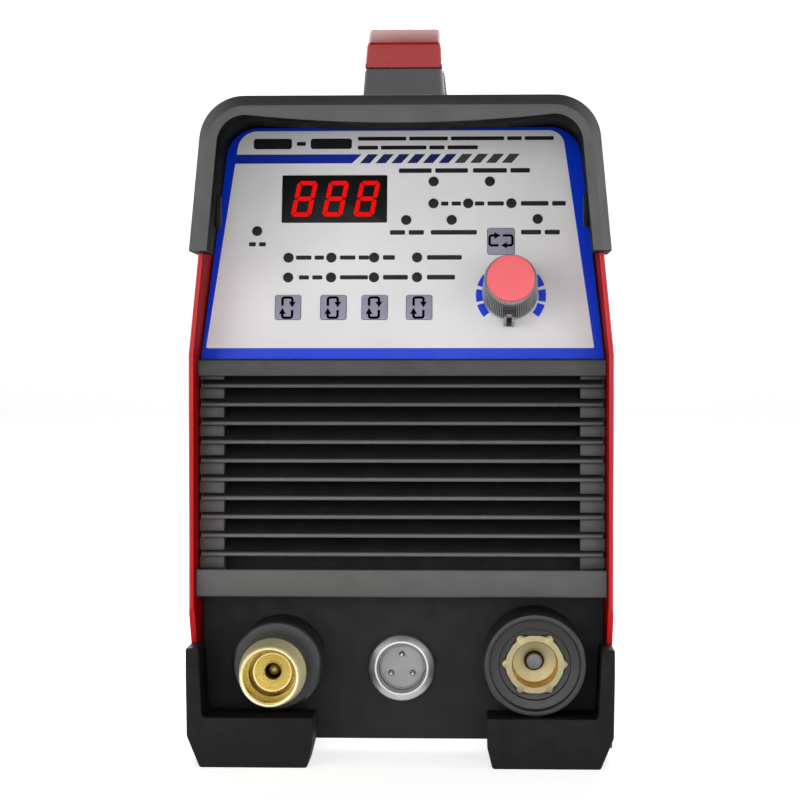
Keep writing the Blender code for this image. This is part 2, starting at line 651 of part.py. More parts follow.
# ---- Rear panel, fan and rear fittings --------------------------------------------------------
def make_rear_panel(mats):
    inset = SHEET + GAP
    outline = cover_arch(inset, COVER_BOTTOM)
    panel = prism("rear_panel", outline, "Y", REAR_PANEL_Y - PLATE, REAR_PANEL_Y, mats["black"])
    bm = bmesh.new()
    low, high = REAR_PANEL_Y - 9, REAR_PANEL_Y + 9
    add_prism(bm, circle(57.0, 32, FAN_AT), "Y", low, high)
    add_prism(bm, rounded_rect(28.6, 22.6, 0.8, SWITCH_AT, 1), "Y", low, high)
    for centre, radius in ((GLAND_AT, 10.3), (GAS_AT, 6.3), (EARTH_AT, 3.3)):
        add_prism(bm, circle(radius, 24, centre), "Y", low, high)
    return boolean(panel, cutter("rear_panel_holes", bm))


def make_fan(mats):
    """Axial fan: square frame, turning rotor with seven blades, and the guard outside."""
    x, z = FAN_AT
    front = REAR_PANEL_Y - PLATE - GAP - FAN_DEPTH
    back = REAR_PANEL_Y - PLATE - GAP
    frame = prism("fan_frame", rounded_rect(FAN_SIZE, FAN_SIZE, 5.0, (0, 0), 2), "Y", front, back,
                  mats["black"], None, (x, 0, z))
    bore = bmesh.new()
    add_prism(bore, circle(57.0, 32), "Y", front + 4, back + 5)
    boolean(frame, cutter("fan_bore", bore, None, (x, 0, z)))
    ports = bmesh.new()
    for i in range(4):
        angles = [math.radians(90 * i + 6 + 78 * k / 6) for k in range(7)]
        outline = [(56 * math.cos(a), 56 * math.sin(a)) for a in angles]
        outline += [(24 * math.cos(a), 24 * math.sin(a)) for a in reversed(angles)]
        add_prism(ports, outline, "Y", front - 5, front + 9)
    boolean(frame, cutter("fan_ports", ports, None, (x, 0, z)))

    rotor = turned("fan_rotor", [(20.0, 0), (20.0, 16.0), (18.0, 17.4)], mats["black"],
                   (x, back - 1.0, z), 28)
    blades = bmesh.new()
    for i in range(7):
        angle = 2 * math.pi * i / 7
        sections = []
        for radius in (18.5, 54.0):
            twist = math.radians(38 if radius < 30 else 28)
            chord = 9.0 if radius < 30 else 12.5
            corners = []
            for a, b in ((-1, -1), (1, -1), (1, 1), (-1, 1)):
                across = a * chord * math.cos(twist) - b * 0.7 * math.sin(twist)
                along = a * chord * math.sin(twist) + b * 0.7 * math.cos(twist)
                px = radius * math.cos(angle) - across * math.sin(angle)
                pz = radius * math.sin(angle) + across * math.cos(angle)
                corners.append((px, -8.5 + along, pz))
            sections.append(corners)
        add_sections(blades, sections)
    boolean(rotor, cutter("fan_blades", blades, None, (x, back - 1.0, z)), "UNION")

    y0, y1 = REAR_PANEL_Y + GAP, REAR_PANEL_Y + 2.3
    guard = prism("fan_guard", circle(15.0, 20), "Y", y0, y1, mats["steel"], None, (x, 0, z))
    bars = bmesh.new()
    for i in range(6):
        a = 2 * math.pi * (i + 0.5) / 6
        across = (-math.sin(a) * 1.2, math.cos(a) * 1.2)
        ends = [(r * math.cos(a), r * math.sin(a)) for r in (12.0, 61.5)]
        outline = [(ends[0][0] - across[0], ends[0][1] - across[1]),
                   (ends[1][0] - across[0], ends[1][1] - across[1]),
                   (ends[1][0] + across[0], ends[1][1] + across[1]),
                   (ends[0][0] + across[0], ends[0][1] + across[1])]
        add_prism(bars, outline, "Y", y0, y1)
    boolean(guard, cutter("fan_guard_bars", bars, None, (x, 0, z)), "UNION")
    rings = bmesh.new()
    for radius in (27.0, 38.0, 49.0, 60.0):
        ring = [(radius - 1.1, -y0), (radius + 1.1, -y0), (radius + 1.1, -y1), (radius - 1.1, -y1)]
        add_turned(rings, ring, segments=24, ring=True)
    boolean(guard, cutter("fan_guard_rings", rings, None, (x, 0, z)), "UNION")


def make_power_switch(mats):
    """Mains switch: bezel and housing through the rear panel, and its rocker."""
    x, z = SWITCH_AT
    housing = prism("power_switch_housing", rounded_rect(28.0, 22.0, 0.8, (0, 0), 1), "Y",
                    REAR_PANEL_Y - 20.0, REAR_PANEL_Y + 1.5, mats["black"], None, (x, 0, z))
    bezel = bmesh.new()
    add_prism(bezel, rounded_rect(33.0, 27.0, 1.6, (0, 0), 2), "Y", REAR_PANEL_Y + GAP,
              REAR_PANEL_Y + 2.6)
    boolean(housing, cutter("power_switch_bezel", bezel, None, (x, 0, z)), "UNION")
    well = bmesh.new()
    add_box(well, (-12.2, REAR_PANEL_Y - 9.0, -9.6), (12.2, REAR_PANEL_Y + 9, 9.6))
    boolean(housing, cutter("power_switch_well", well, None, (x, 0, z)))
    pivot_y = REAR_PANEL_Y - 1.5
    tilt = math.radians(9.0)
    face = [(-8.6, 3.4), (-4.0, 4.6), (0.0, 3.9), (4.0, 4.6), (8.6, 3.4), (7.0, -2.6), (0, -5.4),
            (-7.0, -2.6)]
    outline = []
    for up, out in face:
        outline.append((out * math.cos(tilt) - up * math.sin(tilt),
                        up * math.cos(tilt) + out * math.sin(tilt)))
    prism("power_rocker", outline, "X", -11.8, 11.8, mats["black"], None, (x, pivot_y, z))


def make_rear_fittings(mats):
    """Cord gland, gas inlet and earth bolt on the rear panel."""
    x, z = GLAND_AT
    gland = [(6.0, 12.0), (10.0, 12.0), (10.0, -GAP), (13.8, -GAP), (13.8, -7.0), (11.6, -8.0),
             (10.6, -20.0), (8.4, -24.0), (6.0, -24.0)]
    turned("cord_gland", gland, mats["black"], (x, REAR_PANEL_Y, z), 24, ring=True)

    x, z = GAS_AT
    inlet = [(2.4, 14.0), (6.0, 14.0), (6.0, -GAP), (9.2, -GAP), (9.2, -6.0), (4.6, -7.0),
             (4.6, -9.0), (5.4, -9.2), (4.4, -15.0), (5.4, -15.2), (4.4, -21.0), (5.4, -21.2),
             (4.2, -27.0), (2.4, -27.0)]
    turned("gas_inlet", inlet, mats["brass"], (x, REAR_PANEL_Y, z), 16, ring=True)

    x, z = EARTH_AT
    bolt = [(3.0, 10.0), (3.0, -GAP), (5.6, -GAP), (5.6, -4.2), (4.8, -5.0)]
    turned("earth_bolt", bolt, mats["steel"], (x, REAR_PANEL_Y, z), 24)


# ---- Internals --------------------------------------------------------------------------------
def make_internals(mats):
    """Power section: heat sink on the tray, main board over it, and what stands on it."""
    sink_low = COVER_BOTTOM + 1.5 + GAP
    sink_top = 62.0
    half = 64.0
    fins = 12
    pitch = 2 * half / fins
    comb = [(-half, sink_top), (-half, sink_low)]
    for i in range(fins):
        left = -half + i * pitch
        comb += [(left + 2.2, sink_low), (left + 2.2, sink_top - 6.0),
                 (left + pitch, sink_top - 6.0), (left + pitch, sink_low)]
    comb += [(half + 2.2, sink_low), (half + 2.2, sink_top)]
    prism("heat_sink", comb, "Y", -90.0, 70.0, mats["aluminium"])
    board = sink_top + GAP
    box("main_board", (-70, -110, board), (70, 118, board + 1.8), mats["board"])
    deck = board + 1.8 + GAP
    outline = rounded_rect(62, 46, 6, (-24, 20), 2)
    prism("transformer", outline, "Z", deck, deck + 52, mats["copper"])
    turned("output_reactor", [(10, deck), (27, deck), (27, deck + 26), (10, deck + 26)],
           mats["copper"], (34, 40, 0), 28, ring=True, axis="Z")
    for number, y in enumerate((-80.0, -44.0), start=1):
        turned("capacitor_%d" % number, [(15.5, deck), (15.5, deck + 44), (14.5, deck + 45)],
               mats["black"], (-44, y, 0), 24, axis="Z")
    valve = box("gas_valve", (-11, -16, 0), (11, 16, 26), mats["brass"], None, (38, -60, deck))
    coil = bmesh.new()
    add_prism(coil, circle(10.5, 20), "Z", 24.0, 52.0)
    boolean(valve, cutter("gas_valve_coil", coil, None, (38, -60, deck)), "UNION")


def clear_scene():
    for obj in list(bpy.data.objects):
        bpy.data.objects.remove(obj, do_unlink=True)


def main():
    clear_scene()
    mats = make_materials()
    frame = bpy.data.objects.new("panel_plane", None)
    frame.location = (0, PANEL_FOOT_Y * MM, PANEL_FOOT_Z * MM)
    frame.rotation_euler = (-PANEL_LEAN, 0, 0)
    bpy.context.collection.objects.link(frame)

    make_base_tray(mats)
    make_cover(mats)
    make_hood("front_hood", mats, "front")
    make_hood("rear_hood", mats, "rear")
    for end in ("front", "rear"):
        for side_name, side in (("left", -1), ("right", 1)):
            make_foot("foot_%s_%s" % (end, side_name), mats, side, end)
    make_louvre(mats)
    make_lower_panel(mats)
    make_control_panel(mats, frame)
    make_leds(mats, frame)
    make_display(mats, frame)
    make_buttons(mats, frame)
    make_control_board(mats, frame)
    make_encoder(mats, frame)
    make_knob(mats, frame)
    make_torch_connector(mats)
    make_output_connector(mats)
    make_control_socket(mats)
    make_handle(mats)
    drill_handle_screws()
    make_rear_panel(mats)
    make_fan(mats)
    make_power_switch(mats)
    make_rear_fittings(mats)
    make_internals(mats)


main()
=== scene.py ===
"""Looks of the TIG welding machine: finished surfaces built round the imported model.

Lengths are in millimetres and are scaled to metres as each mesh is made. The control panel's pieces
are drawn in its own plane: x across, y out of the face (negative is outwards), z up along it.
"""
import json
import math

import bmesh
import bpy
from mathutils import Matrix, Vector


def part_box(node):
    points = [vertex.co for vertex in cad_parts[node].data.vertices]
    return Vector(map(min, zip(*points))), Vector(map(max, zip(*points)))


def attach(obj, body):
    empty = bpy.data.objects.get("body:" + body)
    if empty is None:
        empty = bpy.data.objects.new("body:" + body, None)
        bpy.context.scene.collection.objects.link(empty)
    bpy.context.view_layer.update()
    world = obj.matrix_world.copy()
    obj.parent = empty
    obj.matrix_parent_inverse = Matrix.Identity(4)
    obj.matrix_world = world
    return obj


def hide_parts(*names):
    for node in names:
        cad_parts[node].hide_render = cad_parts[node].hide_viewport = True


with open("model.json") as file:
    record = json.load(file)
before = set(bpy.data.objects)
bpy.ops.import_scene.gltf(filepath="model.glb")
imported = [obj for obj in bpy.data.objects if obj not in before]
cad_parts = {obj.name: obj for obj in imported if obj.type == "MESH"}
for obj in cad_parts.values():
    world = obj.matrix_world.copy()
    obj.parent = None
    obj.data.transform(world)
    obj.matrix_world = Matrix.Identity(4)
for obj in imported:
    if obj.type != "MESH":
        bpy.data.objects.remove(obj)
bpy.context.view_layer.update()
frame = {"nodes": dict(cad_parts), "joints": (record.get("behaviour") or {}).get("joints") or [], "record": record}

MM = 0.001
SMOOTH_ANGLE = math.radians(32)
FLAT_SHARE = math.cos(math.pi / 6)     # a hexagon's flats are this share of its corners
BODY = "machine"


def low(node):
    return [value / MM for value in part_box(node)[0]]


def high(node):
    return [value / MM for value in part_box(node)[1]]


def middle(node):
    return [(a + b) / 2 for a, b in zip(low(node), high(node))]


JOINTS = {joint["name"]: joint for joint in frame["joints"]}
FRONT_EDGE = low("cover_shell")[1]
REAR_EDGE = high("cover_shell")[1]
BODY_MID = (FRONT_EDGE + REAR_EDGE) / 2
COVER_HALF = high("cover_shell")[0]
COVER_BASE = low("cover_shell")[2]
COVER_TOP = high("cover_shell")[2]
SHEET = 2.2
BEND_Z = 158.8
COVER_LEAN = math.radians(5.6)
COVER_CORNER = 16.0
HOOD_FACE = low("front_hood")[1]
HOOD_BASE = low("front_hood")[2]
HOOD_TOP = high("front_hood")[2]
HOOD_HALF = high("front_hood")[0]
HOOD_LEAN = math.radians(5.4)
LOWER_PANEL_Y = low("connector_panel")[1]
REAR_PANEL_Y = high("rear_panel")[1]
PANEL_HALF = high("connector_panel")[0]
OVERLAY = 0.5
PANEL_LEAN = math.asin(JOINTS["knob_turn"]["axis"][2])
PANEL_FOOT = Vector((0, low("panel_overlay")[1],
                     low("panel_overlay")[2] + OVERLAY * math.sin(PANEL_LEAN)))
PANEL = Matrix.Translation(PANEL_FOOT) @ Matrix.Rotation(-PANEL_LEAN, 4, "X")
KNOB_PIVOT = PANEL.inverted() @ (Vector(JOINTS["knob_turn"]["pos_m"]) / MM)

KEY_SIZES = ((10.1, 9.9),) * 4 + ((10.6, 10.8),)
KEY_RISE = 0.3             # the printed keys sit this far above the middle of their stems
KEY_GAP = 0.22
KEYS_AT = ((-45.5, 20.7), (-27.4, 20.7), (-11.0, 20.7), (6.7, 20.7), (39.2, 47.9))
DISPLAY_SIZE = (42.2, 19.8)
DISPLAY_AT = (-27.6, 66.1)
LAMP_RADIUS = 2.0
MODE_LAMPS = [(-45.7 + 17.15 * column, height) for height in (33.4, 41.6) for column in range(4)]
VALUE_LAMPS = [(1.3, 57.2), (19.5, 57.2), (53.9, 57.5), (12.2, 64.1), (26.1, 64.1),
               (43.4, 64.1), (12.2, 73.3), (34.8, 73.3)]
WARNING_LAMP = (-58.5, 52.7)
LAMPS_AT = MODE_LAMPS + VALUE_LAMPS + [WARNING_LAMP]


# ---- Materials ----------------------------------------------------------------------------------
def srgb(red, green, blue):
    """Linear colour from 0 to 255 screen values."""
    return tuple((v / 255 / 12.92) if v <= 10 else ((v / 255 + 0.055) / 1.055) ** 2.4
                 for v in (red, green, blue))


class Shader:
    """A Principled material whose nodes are added by name."""

    def __init__(self, name, metallic=0.0):
        self.material = bpy.data.materials.new(name)
        self.material.use_nodes = True
        self.tree = self.material.node_tree
        self.shader = self.tree.nodes["Principled BSDF"]
        self.shader.inputs["Metallic"].default_value = metallic
        self.place = self.add("ShaderNodeTexCoord").outputs["Object"]

    def add(self, kind, **values):
        node = self.tree.nodes.new(kind)
        for key, value in values.items():
            setattr(node, key, value)
        return node

    def link(self, source, target):
        self.tree.links.new(source, target)

    def noise(self, scale, detail=2.0, roughness=0.5, stretch=None, vector=None):
        node = self.add("ShaderNodeTexNoise")
        node.inputs["Scale"].default_value = scale
        node.inputs["Detail"].default_value = detail
        node.inputs["Roughness"].default_value = roughness
        vector = vector or self.place
        if stretch:
            mapping = self.add("ShaderNodeMapping")
            mapping.inputs["Scale"].default_value = stretch
            self.link(vector, mapping.inputs["Vector"])
            vector = mapping.outputs["Vector"]
        self.link(vector, node.inputs["Vector"])
        return node.outputs["Fac"]

    def spread(self, value, low_out, high_out, low_in=0.3, high_in=0.7):
        node = self.add("ShaderNodeMapRange")
        node.inputs["From Min"].default_value = low_in
        node.inputs["From Max"].default_value = high_in
        node.inputs["To Min"].default_value = low_out
        node.inputs["To Max"].default_value = high_out
        self.link(value, node.inputs["Value"])
        return node.outputs["Result"]

    def mix(self, factor, first, second):
        node = self.add("ShaderNodeMix", data_type="RGBA")
        self.link(factor, node.inputs["Factor"])
        for socket, colour in (("A", first), ("B", second)):
            target = [s for s in node.inputs if s.name == socket and s.type == "RGBA"][0]
            if isinstance(colour, tuple):
                target.default_value = (*colour, 1.0)
            else:
                self.link(colour, target)
        return [s for s in node.outputs if s.type == "RGBA"][0]

    def bump(self, height, strength, distance):
        node = self.add("ShaderNodeBump")
        node.inputs["Strength"].default_value = strength
        node.inputs["Distance"].default_value = distance * MM
        self.link(height, node.inputs["Height"])
        last = self.shader.inputs["Normal"].links
        if last:
            self.link(last[0].from_socket, node.inputs["Normal"])
        self.link(node.outputs["Normal"], self.shader.inputs["Normal"])

    def colour(self, value):
        self.link(value, self.shader.inputs["Base Color"])

    def roughness(self, value):
        self.link(value, self.shader.inputs["Roughness"])

    def set(self, **values):
        for name, value in values.items():
            self.shader.inputs[name.replace("_", " ")].default_value = value

    def radius_about(self, centre):
        """Coordinates (distance from a line along Y, y, 0) for lathe marks about that line."""
        offset = self.add("ShaderNodeVectorMath", operation="SUBTRACT")
        self.link(self.place, offset.inputs[0])
        offset.inputs[1].default_value = centre
        split = self.add("ShaderNodeSeparateXYZ")
        self.link(offset.outputs[0], split.inputs[0])
        flat = self.add("ShaderNodeCombineXYZ")
        self.link(split.outputs["X"], flat.inputs["X"])
        self.link(split.outputs["Z"], flat.inputs["Y"])
        length = self.add("ShaderNodeVectorMath", operation="LENGTH")
        self.link(flat.outputs[0], length.inputs[0])
        joined = self.add("ShaderNodeCombineXYZ")
        self.link(length.outputs["Value"], joined.inputs["X"])
        self.link(split.outputs["Y"], joined.inputs["Y"])
        return joined.outputs[0], length.outputs["Value"]


def shade(colour, factor):
    return tuple(min(1.0, c * factor) for c in colour)


def moulded(name, colour, rough=(0.42, 0.58), grain=0.35, depth=0.05, blotch=0.07, specular=0.5,
            top=1.0, painted_shade_above=None, coat=0.0):
    """Spark-eroded plastic: fine grain in the surface, faint clouds in colour and gloss.

    `top` is how much of the colour is left where the surface faces up: painted shade on faces that
    look up. The argument after `top` is two heights and how much of the colour is left at and above
    the second: painted shade, darker upwards.
    """
    made = Shader(name)
    clouds = made.spread(made.noise(28, 3), 0, 1)

    def tone(factor):
        return made.mix(clouds, shade(colour, factor * (1 - blotch)),
                        shade(colour, factor * (1 + blotch)))

    base = tone(1.0)
    # Painted shade: faces that look up keep only `top` of the colour.
    if top < 1.0:
        split = made.add("ShaderNodeSeparateXYZ")
        made.link(made.add("ShaderNodeNewGeometry").outputs["True Normal"], split.inputs[0])
        base = made.mix(made.spread(split.outputs["Z"], 0, 1, 0.1, 0.68), base, tone(top))
    # Painted shade: from the first height to the second the colour darkens to the given share.
    if painted_shade_above:
        split = made.add("ShaderNodeSeparateXYZ")
        made.link(made.place, split.inputs[0])
        share = made.spread(split.outputs["Z"], 0, 1, painted_shade_above[0] * MM, painted_shade_above[1] * MM)
        base = made.mix(share, base, tone(painted_shade_above[2]))
    made.colour(base)
    made.roughness(made.spread(made.noise(140, 3), *rough))
    made.bump(made.noise(1100, 3, 0.6), grain, depth)
    made.bump(made.noise(60, 1), 0.12, 0.12)
    made.set(Specular_IOR_Level=specular, Coat_Weight=coat, Coat_Roughness=0.12)
    return made.material


def painted(name, colour):
    """Powder coat: orange peel, a little mottling, and a clear gloss over it."""
    made = Shader(name)
    clouds = made.noise(22, 4)
    made.colour(made.mix(made.spread(clouds, 0, 1), shade(colour, 0.93), shade(colour, 1.06)))
    made.roughness(made.spread(made.noise(90, 3), 0.34, 0.46))
    made.bump(made.noise(420, 2), 0.22, 0.05)
    made.bump(made.noise(2600, 2), 0.15, 0.02)
    made.set(Coat_Weight=0.08, Coat_Roughness=0.22, Specular_IOR_Level=0.3)
    return made.material


def rubbery(name, colour):
    made = Shader(name)
    dust = made.spread(made.noise(45, 5, 0.65), 0, 1, 0.45, 0.8)
    made.colour(made.mix(dust, colour, shade(colour, 1.35)))
    made.roughness(made.spread(made.noise(160, 3), 0.5, 0.68))
    made.bump(made.noise(900, 3, 0.6), 0.4, 0.06)
    made.set(Specular_IOR_Level=0.2)
    return made.material


def film(name, colour, gloss=(0.3, 0.4), coat=0.05):
    """Printed polyester: a fine dot texture under a soft gloss."""
    made = Shader(name)
    made.colour(made.mix(made.spread(made.noise(35, 2), 0, 1), shade(colour, 0.97),
                         shade(colour, 1.03)))
    made.roughness(made.spread(made.noise(120, 2), *gloss))
    made.bump(made.noise(1800, 2), 0.12, 0.03)
    made.set(Coat_Weight=coat, Coat_Roughness=0.25, Specular_IOR_Level=0.25)
    return made.material


def rolled_metal(name, colour, rough=(0.24, 0.4), stretch=(1, 14, 14), depth=0.02):
    """Sheet or bar with marks drawn out along one way."""
    made = Shader(name, metallic=1.0)
    marks = made.noise(260, 4, 0.6, stretch=stretch)
    made.colour(made.mix(made.spread(marks, 0, 1), shade(colour, 0.86), shade(colour, 1.08)))
    made.roughness(made.spread(made.noise(80, 3), *rough))
    made.bump(marks, 0.25, depth)
    return made.material


def turned_metal(name, colour, centre, rough=(0.14, 0.26), sand=None, sand_colour=None):
    """Lathe-turned metal: rings about its axis. `sand` is a radius inside which it is blasted."""
    made = Shader(name, metallic=1.0)
    rings, radius = made.radius_about([v * MM for v in centre])
    lines = made.noise(4200, 3, 0.6, vector=rings)
    tarnish = made.noise(120, 4, 0.6)
    base = made.mix(made.spread(tarnish, 0, 1), shade(colour, 0.88), shade(colour, 1.05))
    made.roughness(made.spread(made.noise(240, 3), *rough))
    made.bump(lines, 0.3, 0.015)
    if sand:
        inside = made.spread(radius, 1, 0, (sand - 0.6) * MM, (sand + 0.6) * MM)
        base = made.mix(inside, base, sand_colour)
        grit = made.add("ShaderNodeMath", operation="MULTIPLY")
        made.link(made.noise(2300, 2, 0.7), grit.inputs[0])
        made.link(inside, grit.inputs[1])
        made.bump(grit.outputs[0], 1.0, 0.35)
    made.colour(base)
    return made.material


def lit_segment(name, colour, power):
    """Glowing plastic of the seven-segment digits, a little uneven across each segment."""
    made = Shader(name)
    glow = made.spread(made.noise(700, 2), 0.94, 1.06)
    strength = made.add("ShaderNodeMath", operation="MULTIPLY")
    made.link(glow, strength.inputs[0])
    strength.inputs[1].default_value = power
    made.link(strength.outputs[0], made.shader.inputs["Emission Strength"])
    made.set(Emission_Color=(*colour, 1.0), Base_Color=(*shade(colour, 0.1), 1.0), Roughness=0.7,
             Specular_IOR_Level=0.0)
    return made.material


def smoked(name, colour, rough=0.08):
    made = Shader(name)
    made.colour(made.mix(made.spread(made.noise(50, 2), 0, 1), shade(colour, 0.9),
                         shade(colour, 1.1)))
    made.roughness(made.spread(made.noise(200, 2), rough, rough + 0.05))
    made.set(Specular_IOR_Level=0.2)
    return made.material


def soldered_board(name):
    """Green solder mask with copper lines showing faintly through it."""
    made = Shader(name)
    cells = made.add("ShaderNodeTexVoronoi", distance="CHEBYCHEV", feature="DISTANCE_TO_EDGE")
    cells.inputs["Scale"].default_value = 160
    made.link(made.place, cells.inputs["Vector"])
    tracks = made.spread(cells.outputs["Distance"], 1, 0, 0.03, 0.09)
    made.colour(made.mix(tracks, srgb(14, 78, 38), srgb(38, 122, 60)))
    made.roughness(made.spread(made.noise(150, 2), 0.28, 0.42))
    made.bump(tracks, 0.3, 0.04)
    return made.material


def wound_copper(name):
    made = Shader(name, metallic=1.0)
    bands = made.add("ShaderNodeTexWave", bands_direction="Z")
    bands.inputs["Scale"].default_value = 160
    bands.inputs["Distortion"].default_value = 0.6
    made.link(made.place, bands.inputs["Vector"])
    made.colour(made.mix(bands.outputs["Fac"], srgb(120, 62, 32), srgb(196, 118, 66)))
    made.roughness(made.spread(made.noise(160, 2), 0.3, 0.45))
    made.bump(bands.outputs["Fac"], 0.8, 0.5)
    return made.material


def studio_floor(name):
    """White paper that glows a little, as if lit by lamps that miss the object."""
    made = Shader(name)
    made.colour(made.mix(made.spread(made.noise(3, 3), 0, 1), (0.84, 0.84, 0.84),
                         (0.88, 0.88, 0.88)))
    made.roughness(made.spread(made.noise(9, 2), 0.75, 0.9))
    path = made.add("ShaderNodeLightPath")
    made.link(made.spread(path.outputs["Is Diffuse Ray"], 0.72, 0.08, 0, 1),
              made.shader.inputs["Emission Strength"])
    made.set(Emission_Color=(1, 1, 1, 1))
    return made.material


TORCH_AT = middle("torch_nozzle")
SOCKET_AT = middle("control_socket_shell")
OUTPUT_AT = middle("output_socket")
GAS_AT = middle("gas_inlet")
EARTH_AT = middle("earth_bolt")
BRASS = (0.86, 0.74, 0.42)
BLASTED = (0.56, 0.44, 0.14)

MATERIALS = {
    "red_paint": painted("red_powder_coat", srgb(200, 8, 10)),
    # Painted shade: faces of the hoods that look up keep only 0.12 of the grey.
    "grey_plastic": moulded("grey_moulding", srgb(68, 68, 68), top=0.12),
    # Painted shade: the louvre plastic darkens upwards, to 0.4 of its colour at 154 mm.
    "louvre_grey": moulded("louvre_moulding", srgb(79, 79, 78), painted_shade_above=(105, 154, 0.4)),
    # Painted light: a lighter copy of the louvre plastic for the slat noses, which also darkens upwards as painted
    # shade.
    "nose_grey": moulded("louvre_nose_painted_light", srgb(103, 103, 101), painted_shade_above=(105, 150, 0.45)),
    "handle_grey": moulded("handle_moulding", srgb(95, 95, 95)),
    # Painted shade: a dark grey for the hoods' inner faces, darkening to near-black from 203 to 218 mm.
    "hood_inside": moulded("grey_moulding_inner_painted_shade", srgb(38, 38, 38), rough=(0.6, 0.75),
                           specular=0.05, painted_shade_above=(203, 218, 0.05)),
    # Painted shade: a darker red for the cover's inner faces, darkening to near-black from 218 to 240 mm.
    "cover_inside": moulded("red_paint_inner_painted_shade", srgb(140, 1, 1), rough=(0.6, 0.75), specular=0.1,
                            painted_shade_above=(218, 240, 0.05)),
    # Painted shade: a near-black copy of the louvre plastic for the slats' sloping faces.
    "louvre_inside": moulded("louvre_slope_painted_shade", srgb(22, 22, 21), rough=(0.6, 0.75)),
    "panel_black": moulded("connector_panel_black", srgb(27, 27, 27), rough=(0.5, 0.62),
                          specular=0.25),
    "black_plastic": moulded("black_moulding", srgb(24, 24, 24)),
    "black_rubber": rubbery("guard_rubber", srgb(7, 7, 6)),
    "cup_grey": moulded("cup_moulding", srgb(30, 30, 31), rough=(0.34, 0.44)),
    "red_grip": moulded("red_grip_moulding", srgb(172, 14, 17), rough=(0.2, 0.28), depth=0.02,
                         specular=0.5, coat=0.7),
    "overlay_film": film("blue_print", srgb(12, 64, 232)),
    "print_white": film("white_print", srgb(242, 241, 242)),
    "print_blue": film("rule_blue", srgb(17, 47, 172)),
    "print_ink": film("black_ink", srgb(20, 20, 22), gloss=(0.4, 0.5)),
    "icon_ink": moulded("icon_ink", srgb(4, 4, 4), specular=0.0),
    "print_navy": film("navy_ink", srgb(30, 40, 100)),
    "print_grey": film("grey_ink", srgb(66, 68, 70)),
    "key_plastic": film("key_lavender", srgb(157, 154, 174), gloss=(0.42, 0.55), coat=0.1),
    "knob_cap": moulded("salmon_cap", srgb(255, 108, 115), rough=(0.45, 0.55), depth=0.02),
    # The knob's grey, lifted to stand for lit crests: part own colour, part painted highlight.
    "knob_grip": moulded("knob_grey_and_painted_highlight", srgb(165, 165, 167), rough=(0.26, 0.36), depth=0.02),
    # Painted shade: near-black for the faces in the knurl's grooves.
    "knob_groove": moulded("knob_groove_painted_shade", srgb(12, 12, 12), rough=(0.4, 0.5), depth=0.02),
    "pointer_grey": moulded("pointer_grey", srgb(150, 150, 150), rough=(0.35, 0.45), depth=0.02),
    "display_window": smoked("smoked_window", srgb(15, 14, 14), 0.45),
    "lamp_lens": smoked("dark_lamp_lens", srgb(34, 34, 34), 0.5),
    "digit_red": lit_segment("digit_red", (1.0, 0.006, 0.006), 0.8),
    "brass": rolled_metal("brass_bar", BRASS, stretch=(6, 6, 6)),
    "nozzle_brass": turned_metal("nozzle_brass", (0.93, 0.87, 0.62), TORCH_AT, (0.12, 0.2),
                                 sand=7.3, sand_colour=BLASTED),
    # Painted reflection: a pale, non-metal brass for the bell's outer flank, bright where it would mirror the dark
    # panel.
    "brass_flank_painted_sheen": moulded("brass_flank_painted_sheen", srgb(238, 226, 172), rough=(0.2, 0.28), depth=0.02,
                           specular=1.0),
    "output_brass": turned_metal("output_brass", shade(BRASS, 0.38), OUTPUT_AT, (0.34, 0.46)),
    "blasted_brass": turned_metal("blasted_brass", BLASTED, OUTPUT_AT, (0.5, 0.6), sand=20.0,
                                  sand_colour=(0.9, 0.6, 0.16)),
    "aged_brass": rolled_metal("aged_brass", shade(BRASS, 0.3), stretch=(6, 6, 6)),
    "gas_brass": turned_metal("gas_brass", BRASS, GAS_AT),
    "nickel": turned_metal("nickel_plate", srgb(205, 206, 208), SOCKET_AT, (0.4, 0.5)),
    "zinc_steel": rolled_metal("zinc_steel", srgb(178, 180, 184)),
    "dull_steel": rolled_metal("dull_steel", srgb(104, 104, 109), (0.4, 0.5), (6, 6, 6)),
    "aluminium": rolled_metal("aluminium", srgb(188, 190, 193), stretch=(14, 1, 14)),
    "circuit_board": soldered_board("solder_mask"),
    "socket_insert": moulded("socket_insert_grey", srgb(178, 178, 178), depth=0.04),
    "winding": wound_copper("copper_winding"),
    "floor": studio_floor("studio_floor"),
}

SLOTS = {entry["node"]: entry["material_slot"] for entry in frame["record"]["subparts"]}
for node_name, node_object in frame["nodes"].items():
    node_object.data.materials.clear()
    node_object.data.materials.append(MATERIALS[SLOTS[node_name]])
frame["nodes"]["connector_panel"].data.materials[0] = MATERIALS["panel_black"]


# ---- Outlines -----------------------------------------------------------------------------------
def fillet(points, radius, steps=3, closed=True):
    """Rounds an outline's corners. `radius` is one value, or one for each point."""
    count = len(points)
    radii = radius if isinstance(radius, (list, tuple)) else [radius] * count
    result = []
    for i, point in enumerate(points):
        corner = Vector(point)
        if radii[i] <= 0 or (not closed and i in (0, count - 1)):
            result.append(tuple(corner))
            continue
        before = Vector(points[i - 1]) - corner
        after = Vector(points[(i + 1) % count]) - corner
        angle = before.angle(after)
        if angle > math.pi - 0.02:
            result.append(tuple(corner))
            continue
        reach = min(radii[i] / math.tan(angle / 2), 0.48 * before.length, 0.48 * after.length)
        start = corner + before.normalized() * reach
        end = corner + after.normalized() * reach
        size = reach * math.tan(angle / 2)
        centre = corner + (before.normalized() + after.normalized()).normalized() * (
            size / math.sin(angle / 2))
        spoke_a, spoke_b = start - centre, end - centre
        turn = spoke_a.angle_signed(spoke_b)
        for step in range(steps + 1):
            spoke = spoke_a.copy()
            spoke.rotate(Matrix.Rotation(-turn * step / steps, 2))
            result.append(tuple(centre + spoke))
    return result


